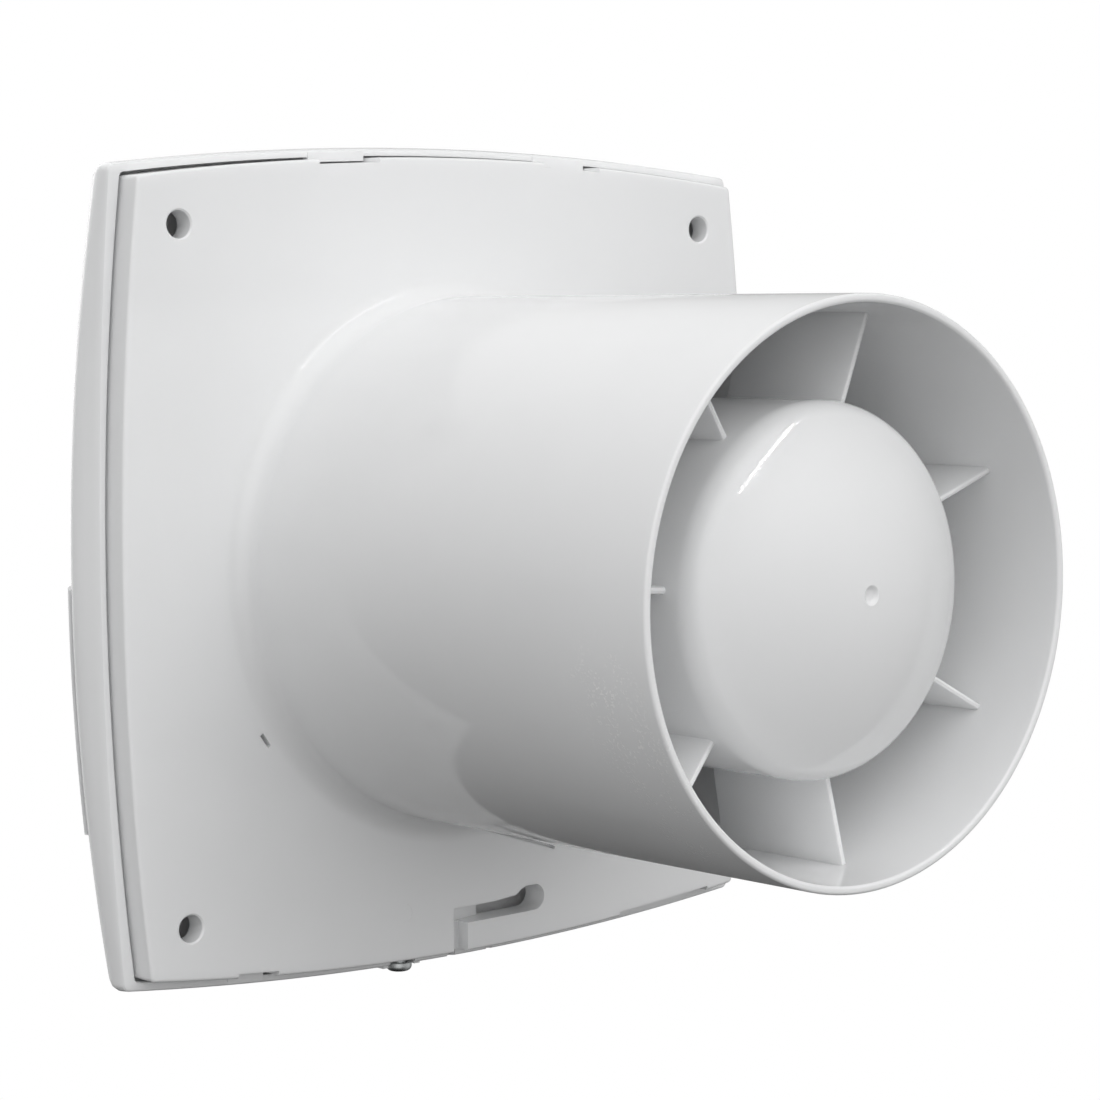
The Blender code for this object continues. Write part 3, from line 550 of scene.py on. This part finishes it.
def slit(name, start, end, width, depth):
    """A narrow slot between two points of the wall face."""
    start, end = Vector((*start, 0)), Vector((*end, 0))
    along = (end - start).normalized()
    side = Vector((-along.y, along.x, 0)) * width / 2
    corners = (start - side, end - side, end + side, start + side)
    return prism(name, [(corner.x, corner.y) for corner in corners], -2.0, depth)


def edge_strip(name, left, right, side, inner, outer, low, high, steps=10):
    """A block along the plate's top or bottom edge, between two offsets from that edge."""
    bow = (PLATE_HALF ** 2 + PLATE_BULGE ** 2) / (2 * PLATE_BULGE)
    there, back = [], []
    for step in range(steps + 1):
        x = left + (right - left) * step / steps
        y = PLATE_HALF + PLATE_BULGE - x * x / (2 * bow)
        there.append((x, side * (y + inner)))
        back.append((x, side * (y + outer)))
    return prism(name, there + back[::-1], low, high)


def make_rear_casing():
    """The back plate, side walls and spigot as one ring of sections, with blocks, holes and
    notches added and cut."""
    edge = 0.55
    inner = PLATE_HALF - TRAY_WALL
    ledge = 0.5
    sections = [(plate_outline(edge + 0.8), 0.0)]
    for across, z in arc((-edge, edge), edge, -90, 0):
        sections.append((plate_outline(-across), z))
    sections += [
        (plate_outline(), TRAY_DEPTH - 0.3),
        (plate_outline(0.3), TRAY_DEPTH),
        (bowed_square(inner, PLATE_BULGE), TRAY_DEPTH),
        (bowed_square(inner, PLATE_BULGE), PLATE_THICK),
        (circle(INLET_SEAT_RADIUS), PLATE_THICK),
        (circle(INLET_SEAT_RADIUS), ledge),
        (circle(BORE_RADIUS), ledge),
    ]
    rim = 0.55
    for across, z in arc((BORE_RADIUS + rim, SPIGOT_END + rim), rim, 180, 270):
        sections.append((circle(across), z))
    for across, z in arc((SPIGOT_RADIUS - rim, SPIGOT_END + rim), rim, 270, 360):
        sections.append((circle(across), z))
    foot = (SPIGOT_RADIUS + FOOT_FILLET, -FOOT_FILLET)
    for across, z in arc(foot, FOOT_FILLET, 180, 90, 14):
        sections.append((circle(across), z))
    sections.append((circle(foot[0] + 0.7), 0.0))
    casing = loft("casing_shell", sections)

    inside = PLATE_THICK - 0.6
    joined = [block("channel_block", (-22.5, -75.0, inside), (5.0, -62.6, 5.6)),
              block("screw_block", (7.5, -75.0, inside), (15.5, -66.0, 8.1))]
    cut = channel_tools()
    for x in (-SCREW_PITCH_HALF, SCREW_PITCH_HALF):
        for y in (-SCREW_PITCH_HALF, SCREW_PITCH_HALF):
            joined.append(rod("boss", SCREW_HOLE_RADIUS + 2, (x, y, inside), (x, y, 4.4)))
            cut.append(rod("hole", SCREW_HOLE_RADIUS, (x, y, -2), (x, y, 6)))
            cut.append(rod("hole_edge", SCREW_HOLE_RADIUS + 0.5, (x, y, -0.2), (x, y, 0.3),
                           end_radius=SCREW_HOLE_RADIUS))
    clamp_low, clamp_high = drawn_box("cable_clamp")
    clamp_x = (clamp_low.x + clamp_high.x) / 2
    for end in (-5, 5):
        y = (clamp_low.y + clamp_high.y) / 2 + end
        joined.append(rod("clamp_post", 2.2, (clamp_x, y, inside), (clamp_x, y, clamp_low.z - 0.6)))
        cut.append(rod("clamp_hole", 1.2, (clamp_x, y, 2.2), (clamp_x, y, 9)))
    cut += [
        slit("drain_slit", (46.6, -29.1), (44.9, -31.5), 0.8, PLATE_THICK + 1),
        slit("lead_slit", (-6.2, -52.6), (-23.0, -58.1), 0.6, 1.2),
        rod("cover_screw_hole", 1.6, (SCREW_X, -80, SCREW_Z), (SCREW_X, -66.5, SCREW_Z)),
        rod("ejector_mark", 1.7, (14.3, -66.1, -0.5), (14.3, -66.1, 0.08)),
    ]
    for left, right, side in SNAP_TABS:
        cut.append(edge_strip("tab_notch", left, right, side, -0.9, 3, -1, TRAY_DEPTH + 1))
    carve(casing, joined, cut)
    return place(casing, "casing", CASING_ABS, ["rear_casing"])


# ---------------------------------------------------------------- motor cup and vanes

def cup_profile():
    """The cup's section: from the middle of the dome along the inner side to the mouth, then back
    along the outer side to the gate mark, a small dimple in the middle of the dome."""
    shoulder = 5.2
    rise = CUP_SHOULDER - 4.35 - CUP_APEX
    ball = (DOME_FOOT_RADIUS ** 2 + rise ** 2) / (2 * rise)

    def dome(radius):
        return CUP_APEX + ball - math.sqrt(ball ** 2 - radius ** 2)

    outer = [(CUP_RADIUS - 0.3, CUP_MOUTH), (CUP_RADIUS, CUP_MOUTH - 0.3),
             (CUP_RADIUS, CUP_SHOULDER + 0.6)]
    outer += arc((CUP_RADIUS - shoulder, CUP_SHOULDER), shoulder, 0, -57, 10)
    steps = 22
    for i in range(1, steps):
        radius = DOME_FOOT_RADIUS * (1 - i / steps)
        if radius > GATE_MARK_RADIUS:
            outer.append((radius, dome(radius)))
    for radius, depth in ((2.0, 0.04), (1.75, 0.0), (1.45, 0.12), (1.2, 0.42), (0.8, 0.58),
                          (0.0, 0.62)):
        outer.append((radius, CUP_APEX + depth))
    inner = [(CUP_RADIUS - CUP_WALL, CUP_MOUTH), (CUP_RADIUS - CUP_WALL, CUP_SHOULDER)]
    for share in (0.92, 0.75, 0.5, 0.25):
        radius = (DOME_FOOT_RADIUS - 1.0) * share
        inner.append((radius, dome(radius) + CUP_WALL + 0.3))
    inner.append((0.0, CUP_APEX + CUP_WALL + 0.3))
    return inner[::-1] + outer


def vane(number):
    """One flat radial vane with a rounded rear edge, a little thicker where it meets the cup and
    the bore."""
    turn = Matrix.Rotation(math.radians(VANE_START + number * 360 / VANES), 4, "Z")
    root, tip = CUP_RADIUS - 0.8, BORE_RADIUS + 0.6
    front, rear_root, rear_tip = -64.0, -91.6, -93.3
    half = VANE_THICK / 2
    bm = bmesh.new()
    rows = []
    for radius, rear, swell in ((root, rear_root, 1.25), (root + 1.6, rear_root - 0.2, 1.0),
                                (tip - 1.6, rear_tip + 0.15, 0.95), (tip, rear_tip, 1.2)):
        ring = [(-half * swell, front), (half * swell, front)]
        ring += [(half * swell * math.cos(a), rear + half * (1 - math.sin(a)))
                 for a in (0, math.pi / 4, math.pi / 2, 3 * math.pi / 4, math.pi)]
        rows.append([bm.verts.new((radius, across, z)) for across, z in ring])
    skin(bm, rows)
    cap(bm, rows)
    bmesh.ops.transform(bm, matrix=turn, verts=bm.verts)
    return finish_mesh(bm, f"vane_{number + 1}")


def make_motor_mount():
    """The cup with its vanes."""
    cup = turned("motor_cup", cup_profile(), 192)
    carve(cup, [vane(number) for number in range(VANES)])
    return place(cup, "casing", CUP_ABS, ["motor_mount"])


# ---------------------------------------------------------------- front frame, fascia and screw

def make_front_frame():
    """The frame's outside, deck and inlet funnel as one ring of sections, with its screw pad,
    snap tabs and holes."""
    lip = FRAME_LIP
    deck = bowed_square(67.5, 5.6, 2.0)
    sections = []
    # The outside: half width, bulge at the sides, corner radius, bulge at the top, how much lower
    # the corners are, and z.
    for half, bulge, corner, crown, flatter, z in (
            (PLATE_HALF + 0.55, PLATE_BULGE, 0.9, 4.4, 0.0, lip + 0.25),
            (PLATE_HALF + 0.8, PLATE_BULGE, 1.0, 4.2, 0.2, lip),
            (73.4, 3.4, 1.2, 4.1, 1.0, lip), (73.75, 3.4, 1.3, 4.1, 1.0, lip + 0.10),
            (73.95, 3.45, 1.4, 4.15, 1.0, lip + 0.4), (74.05, 3.9, 1.5, 4.2, 1.0, lip + 1.4),
            (74.15, 4.5, 1.6, 4.3, 1.0, lip + 2.6), (74.0, 5.3, 1.8, 4.4, 1.0, lip + 4.0),
            (73.6, 5.9, 2.0, 4.7, 1.0, lip + 5.1), (73.2, 6.25, 2.0, 5.0, 1.0, lip + 5.9),
            (72.9, 6.3, 2.0, 5.1, 1.0, lip + 6.4), (72.2, 6.2, 2.0, 5.1, 1.0, FRAME_FRONT),
            (71.4, 6.1, 2.0, 5.1, 1.0, FRAME_FRONT)):
        sections.append((bowed_square(half, bulge, corner, crown, flatter), z))
    sections.append((deck, FRAME_FRONT))
    # The inlet funnel, down its front and back up behind.
    for radius, z in ((58.6, 9.9), (55.8, 8.4), (53.4, 6.4), (51.6, 4.2), (50.2, 2.2), (49.4, 1.0),
                      (50.9, 1.0), (51.9, 2.6), (54.2, 5.6), (58.6, 7.9)):
        sections.append((circle(radius), z))
    sections += [
        (deck, FRAME_FRONT - FRAME_SKIN),
        (bowed_square(71.4, 6.0, 1.0, 5.0, 1.0), FRAME_FRONT - FRAME_SKIN),
        (bowed_square(72.3, PLATE_BULGE), 8.2),
        (bowed_square(72.3, PLATE_BULGE), lip + FRAME_SKIN),
        (bowed_square(PLATE_HALF + 0.55, PLATE_BULGE), lip + FRAME_SKIN),
    ]
    ring = loft("front_frame_shell", sections)
    pad_top = -(PLATE_HALF + PLATE_BULGE + 0.25)
    joined = [block("screw_pad", (7.1, pad_top - 1.65, lip + 0.4), (15.9, pad_top, 8.6))]
    cut = [
        rod("screw_pocket", 3.2, (SCREW_X, -84, SCREW_Z), (SCREW_X, pad_top - 0.55, SCREW_Z)),
        rod("screw_clearance", 1.7, (SCREW_X, -84, SCREW_Z), (SCREW_X, -72, SCREW_Z)),
        block("knockout_notch", (-1.3, -84, 2.0), (0.5, -74.5, 8.8)),
        block("knockout_step", (-10.6, -84, 2.0), (-9.2, -76.6, 7.0)),
    ]
    for left, right, side in SNAP_TABS:
        joined.append(edge_strip("snap_tab", left + 0.5, right - 0.5, side, -0.5, 1.3,
                                 lip - 0.15, lip + 1.3))
    for x, y in POSTS:
        cut.append(rod("post_hole", POST_HOLE_RADIUS, (x, y, 6), (x, y, 15)))
    carve(ring, joined, cut)
    return place(ring, "casing", FRAME_ABS, ["front_frame"])


def smooth_dish(points, corner=3.0):
    """A dish of bowed outlines through control points of (half width, bulge, z), rounded by a
    Catmull-Rom curve between them."""
    dense = []
    for i in range(len(points) - 1):
        before, a = points[max(i - 1, 0)], points[i]
        b, after = points[i + 1], points[min(i + 2, len(points) - 1)]
        for step in range(3):
            t = step / 3
            dense.append(tuple(
                0.5 * ((2 * q) + (r - p) * t + (2 * p - 5 * q + 4 * r - s) * t * t
                       + (3 * q - p - 3 * r + s) * t ** 3)
                for p, q, r, s in zip(before, a, b, after)))
    dense.append(points[-1])
    return [(bowed_square(half, bulge, min(corner, half / 2)), z) for half, bulge, z in dense]


def make_fascia():
    """The front panel with its raised band and four posts. Each dish runs from the middle of its
    back round the rim to the middle of its front."""
    back = [(20.0, 1.7, 20.5), (42.0, 3.6, 19.9), (59.2, 5.1, 18.9), (64.7, 5.6, 18.2),
            (66.8, 5.9, 17.0)]
    front = [(68.2, 6.0, 17.0), (68.35, 6.0, 17.6), (68.3, 6.0, 18.3), (67.6, 6.0, 19.4),
             (65.6, 5.8, 20.3), (59.2, 5.1, 21.3), (42.0, 3.6, 22.3), (20.0, 1.7, 22.85),
             (4.0, 0.4, 22.95)]
    panel = loft("fascia_shell", smooth_dish(back) + smooth_dish(front), ring=False)
    band_back = [(4.0, 0.4, 22.0), (20.0, 1.7, 22.0), (42.0, 3.6, 21.4), (59.2, 5.1, 20.0),
                 (65.0, 5.8, 18.2), (67.8, 6.2, 15.6), (70.2, 6.2, 12.0)]
    band_front = [(72.5, 6.2, 12.0), (72.8, 6.2, 12.2), (72.3, 6.2, 13.2), (69.4, 6.2, 17.6),
                  (66.3, 6.0, 20.4), (59.2, 5.1, 22.2), (42.0, 3.6, 23.3), (20.0, 1.7, 23.8),
                  (4.0, 0.4, 23.9)]
    band = loft("band", smooth_dish(band_back) + smooth_dish(band_front), ring=False)
    top, bottom, chamfer = -1.5, -45.5, 1.0
    outline = [(-90, top - 0.3), (-79.0, top), (79.0, top), (90, top - 0.3),
               (90, bottom + chamfer + 8), (80.0, bottom + chamfer), (76.0, bottom),
               (-76.0, bottom), (-80.0, bottom + chamfer), (-90, bottom + chamfer + 8)]
    carve(band, within=[prism("band_stretch", outline, 0, 30)])
    posts = [rod("post", POST_RADIUS, (x, y, POST_TIP), (x, y, 19.6)) for x, y in POSTS]
    carve(panel, [band, *posts])
    return place(panel, "fascia", FASCIA_ABS, ["fascia_panel"])


def make_cover_screw():
    """Pan-head screw with a cross recess. Its head hangs under the frame."""
    head = 1.8
    seat = SCREW_LOW.y + head
    length = SCREW_HIGH.y - seat
    pitch = 1.0
    profile = [(0.0, length), (0.5, length - 0.3)]
    z = length - 0.8
    while z > 1.2:
        profile += [(1.25, z), (0.95, z - pitch / 2)]
        z -= pitch
    profile += [(1.25, 0.8), (1.25, 0.0), (2.30, 0.0), (2.45, -0.15), (2.45, -0.75)]
    profile += arc((1.45, -0.78), 1.0, 0, -80, 6)
    profile += [(0.0, -head)]
    screw = turned("cover_screw_head", profile, 64)
    arms = []
    for turn in (20, 110):
        arm = block("recess", (-1.5, -0.24, -head - 1), (1.5, 0.24, -head + 0.9))
        arm.data.transform(Matrix.Rotation(math.radians(turn), 4, "Z"))
        arms.append(arm)
    arms.append(rod("recess_middle", 0.75, (0, 0, -head - 1), (0, 0, -head + 1.1), 24, 0.4))
    carve(screw, cut=arms)
    upright = Matrix.Rotation(-math.pi / 2, 4, "X")
    screw.data.transform(Matrix.Translation((SCREW_X, seat, SCREW_Z)) @ upright)
    return place(screw, "casing", ZINC, ["cover_screw"])


# ---------------------------------------------------------------- impeller

def blade(number):
    """One twisted, cambered blade with a rounded nose and a thin tail."""
    stations, steps = 14, 14
    # Once round the blade's section: the side of the blade, and how far from its nose to its tail.
    section = [(1, j / steps) for j in range(steps + 1)]
    section += [(-1, 1 - j / steps) for j in range(1, steps)]
    bm = bmesh.new()
    rows = []
    for i in range(stations):
        share = i / (stations - 1)
        radius = HUB_RADIUS - 0.9 + share * (BLADE_TIP - 0.15 - HUB_RADIUS + 0.9)
        pitch = math.radians(42 - 15 * share)
        trim = 1.0 - 0.10 * max(0.0, share - 0.85) / 0.15
        chord = (23 + 5 * share) * trim
        ring = []
        for side, s in section:
            thick = 0.95 * (2.6 * math.sqrt(s + 0.001) * (1 - s) + 0.18)
            swell = 2 if 0 < s < 1 else 0.6
            camber = 1.9 * (1 - 4 * (s - 0.5) ** 2) + side * min(thick, 0.8) / 2 * swell
            along = (s - 0.5) * chord
            round_by = (along * math.cos(pitch) - camber * math.sin(pitch)) / radius
            z = BLADE_MIDDLE + along * math.sin(pitch) + camber * math.cos(pitch)
            angle = number * 2 * math.pi / BLADES + round_by + 0.10 * share
            ring.append(bm.verts.new((radius * math.cos(angle), radius * math.sin(angle), z)))
        rows.append(ring)
    skin(bm, rows)
    cap(bm, rows)
    return finish_mesh(bm, f"blade_{number + 1}")


def make_impeller():
    """The hub with its boss, inner ribs and blades."""
    bore = 3.3
    outer = [(bore, IMPELLER_HIGH.z), (5.5, IMPELLER_HIGH.z), (6.2, IMPELLER_HIGH.z - 0.25),
             (10.0, -4.85), (15.0, -4.95), (20.0, -5.25), (24.2, -6.1), (27.6, -7.7), (29.6, -9.7),
             (30.6, -12.0), (HUB_RADIUS, -14.5), (HUB_RADIUS, -33.7), (30.7, -34.0)]
    inner = [(29.4, -34.0), (29.4, -14.6), (28.6, -12.0), (26.6, -9.8), (23.5, -8.0), (19.5, -7.2),
             (6.6, -6.9), (6.2, -27.0), (bore, -27.0)]
    hub = turned("impeller_hub", outer + inner, 144)
    ribs = []
    for number in range(RIBS):
        rib = block("rib", (6.0, -0.6, -14.0), (29.8, 0.6, -7.1))
        rib.data.transform(Matrix.Rotation(math.radians((number + 0.5) * 360 / RIBS), 4, "Z"))
        ribs.append(rib)
    carve(hub, [blade(number) for number in range(BLADES)] + ribs)
    return place(hub, "rotor", IMPELLER_ABS, ["impeller"], 38)


# ---------------------------------------------------------------- CAD nodes that keep their shape

KEPT = {
    "shaft": SHAFT_STEEL,
    "push_on_clip": ZINC,
    "rotor_core": LAMINATIONS,
    "stator_core": LAMINATIONS,
    "front_thrust_washer": FIBRE,
    "rear_thrust_washer": FIBRE,
    "front_bearing": BRONZE,
    "rear_bearing": BRONZE,
    "front_bracket": STEEL,
    "rear_bracket": STEEL,
    "motor_bolt_1": ZINC,
    "motor_bolt_2": ZINC,
    "clamp_screw_1": ZINC,
    "clamp_screw_2": ZINC,
    "terminal_block": PALE_NYLON,
    "cable_clamp": PALE_NYLON,
}
for number in range(1, 5):
    KEPT[f"coil_{number}"] = COPPER
    KEPT[f"coil_bobbin_{number}"] = BLACK_NYLON
    KEPT[f"terminal_screw_{number}"] = BRASS


def dress_kept_nodes():
    """Gives the CAD nodes that keep their meshes their materials."""
    for name, material in KEPT.items():
        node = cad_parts[name]
        node.data.materials.clear()
        node.data.materials.append(material)


# ---------------------------------------------------------------- floor, light and camera

def make_floor():
    """A pale floor well below the fan. Only the camera sees it, so it throws no light upwards."""
    bm = bmesh.new()
    bmesh.ops.create_grid(bm, x_segments=1, y_segments=1, size=30)
    floor = finish_mesh(bm, "floor")
    floor.location.z = FLOOR_Z
    material = bpy.data.materials.new("pale_floor")
    material.use_nodes = True
    material.node_tree.nodes.clear()
    made = Nodes(material.node_tree)
    glow = made.node("ShaderNodeEmission")
    glow.inputs["Color"].default_value = (1, 1, 1, 1)
    made.join(glow.outputs["Emission"], made.node("ShaderNodeOutputMaterial").inputs["Surface"])
    floor.data.materials.append(material)
    floor.visible_diffuse = False
    floor.visible_glossy = False
    floor.visible_shadow = False


# Broad soft lights: azimuth and elevation in degrees in the frame (90 is the wall's side, 270 the
# room's), strength, and tightness, which is larger for a smaller light.
SOFT_LIGHTS = {
    "front": (50, 15, 1.2, 5),
    "overhead": (40, 70, 0.8, 4),
    "left": (320, 20, 0.55, 5),
    "right": (150, -5, 0.5, 4),
    "plate": (102, 34, 1.1, 8),
    "room": (220, 50, 0.3, 3),
    "face": (268, 15, 2.4, 10),
}
# The row of small lamps that shines on the cup's dome: both ends and width in degrees.
LAMP_STRIP = {"start": (88, 31), "end": (136, 46), "width": 0.9, "dots": 20, "strength": 130.0}


def heading(azimuth, elevation):
    """The direction of an azimuth and elevation in degrees."""
    turn, lift = math.radians(azimuth), math.radians(elevation)
    flat = math.cos(lift)
    return Vector((flat * math.cos(turn), flat * math.sin(turn), math.sin(lift)))


class World(Nodes):
    """The studio's surroundings, built up term by term as a strength for each direction."""

    def __init__(self):
        world = bpy.data.worlds.new("studio")
        bpy.context.scene.world = world
        world.use_nodes = True
        super().__init__(world.node_tree)
        self.tree.nodes.clear()
        self.outward = self.node("ShaderNodeTexCoord").outputs["Generated"]
        self.total = None

    def along(self, direction):
        """How far the outward direction runs along another one."""
        made = self.node("ShaderNodeVectorMath", operation="DOT_PRODUCT")
        made.inputs[1].default_value = direction
        self.join(self.outward, made.inputs[0])
        return made.outputs["Value"]

    def add(self, term):
        self.total = term if self.total is None else self.math("ADD", self.total, term)

    def soft_light(self, azimuth, elevation, strength, tightness):
        """A glow that fades smoothly with the angle from its middle."""
        fall = self.math("MULTIPLY_ADD", self.along(heading(azimuth, elevation)), tightness,
                         math.log(strength) - tightness)
        self.add(self.math("EXPONENT", fall))

    def lamp_strip(self, start, end, width, dots, strength):
        """A straight row of small lamps between two directions."""
        start, end = heading(*start), heading(*end)
        middle = (start + end).normalized()
        level = start.cross(end).normalized()
        length = start.angle(end)
        offset = self.math("DIVIDE", self.along(level), math.radians(width) / 2)
        fall = self.math("MULTIPLY", self.math("MULTIPLY", offset, offset), -1.0)
        narrow = self.math("EXPONENT", fall)
        position = self.math("ARCTAN2", self.along(level.cross(middle)), self.along(middle))
        inside = self.math("LESS_THAN", self.math("ABSOLUTE", position), length / 2)
        wave = self.math("COSINE", self.math("MULTIPLY", position, 2 * math.pi * dots / length))
        lamps = self.math("POWER", self.math("MULTIPLY_ADD", wave, 0.5, 0.5), 8.0)
        glow = self.math("MULTIPLY", self.math("MULTIPLY", narrow, inside), lamps)
        self.add(self.math("MULTIPLY", glow, strength))

    def finish(self):
        """Lights the scene with the total, while the camera itself sees plain white."""
        studio, white = self.node("ShaderNodeBackground"), self.node("ShaderNodeBackground")
        for background in (studio, white):
            background.inputs["Color"].default_value = (1, 1, 1, 1)
        self.join(self.total, studio.inputs["Strength"])
        mix = self.node("ShaderNodeMixShader")
        self.join(self.node("ShaderNodeLightPath").outputs["Is Camera Ray"], mix.inputs["Fac"])
        self.join(studio.outputs["Background"], mix.inputs[1])
        self.join(white.outputs["Background"], mix.inputs[2])
        self.join(mix.outputs["Shader"], self.node("ShaderNodeOutputWorld").inputs["Surface"])


def make_world():
    world = World()
    for light in SOFT_LIGHTS.values():
        world.soft_light(*light)
    world.lamp_strip(**LAMP_STRIP)
    world.finish()


def make_camera():
    """A camera that looks at the fan from behind and to the side, a little off its middle."""
    flat = math.cos(ELEVATION)
    back = Vector((math.sin(AZIMUTH) * flat, -math.cos(AZIMUTH) * flat, math.sin(ELEVATION)))
    right = (-back).cross(Vector((0, 0, 1))).normalized()
    up = right.cross(-back)
    turn = Matrix((right, up, back)).transposed() @ Matrix.Rotation(ROLL, 3, "Z")
    data = bpy.data.cameras.new("camera")
    data.lens = LENS
    data.sensor_width = SENSOR
    data.clip_start = 0.01
    camera = bpy.data.objects.new("camera", data)
    camera.matrix_world = turn.to_4x4()
    camera.location = turn @ Vector((AIM_RIGHT, AIM_UP, CAMERA_DISTANCE))
    bpy.context.scene.collection.objects.link(camera)
    bpy.context.scene.camera = camera


make_rear_casing()
make_motor_mount()
make_front_frame()
make_fascia()
make_cover_screw()
make_impeller()
dress_kept_nodes()
make_floor()
make_world()
make_camera()
bpy.context.scene.view_settings.view_transform = "Standard"
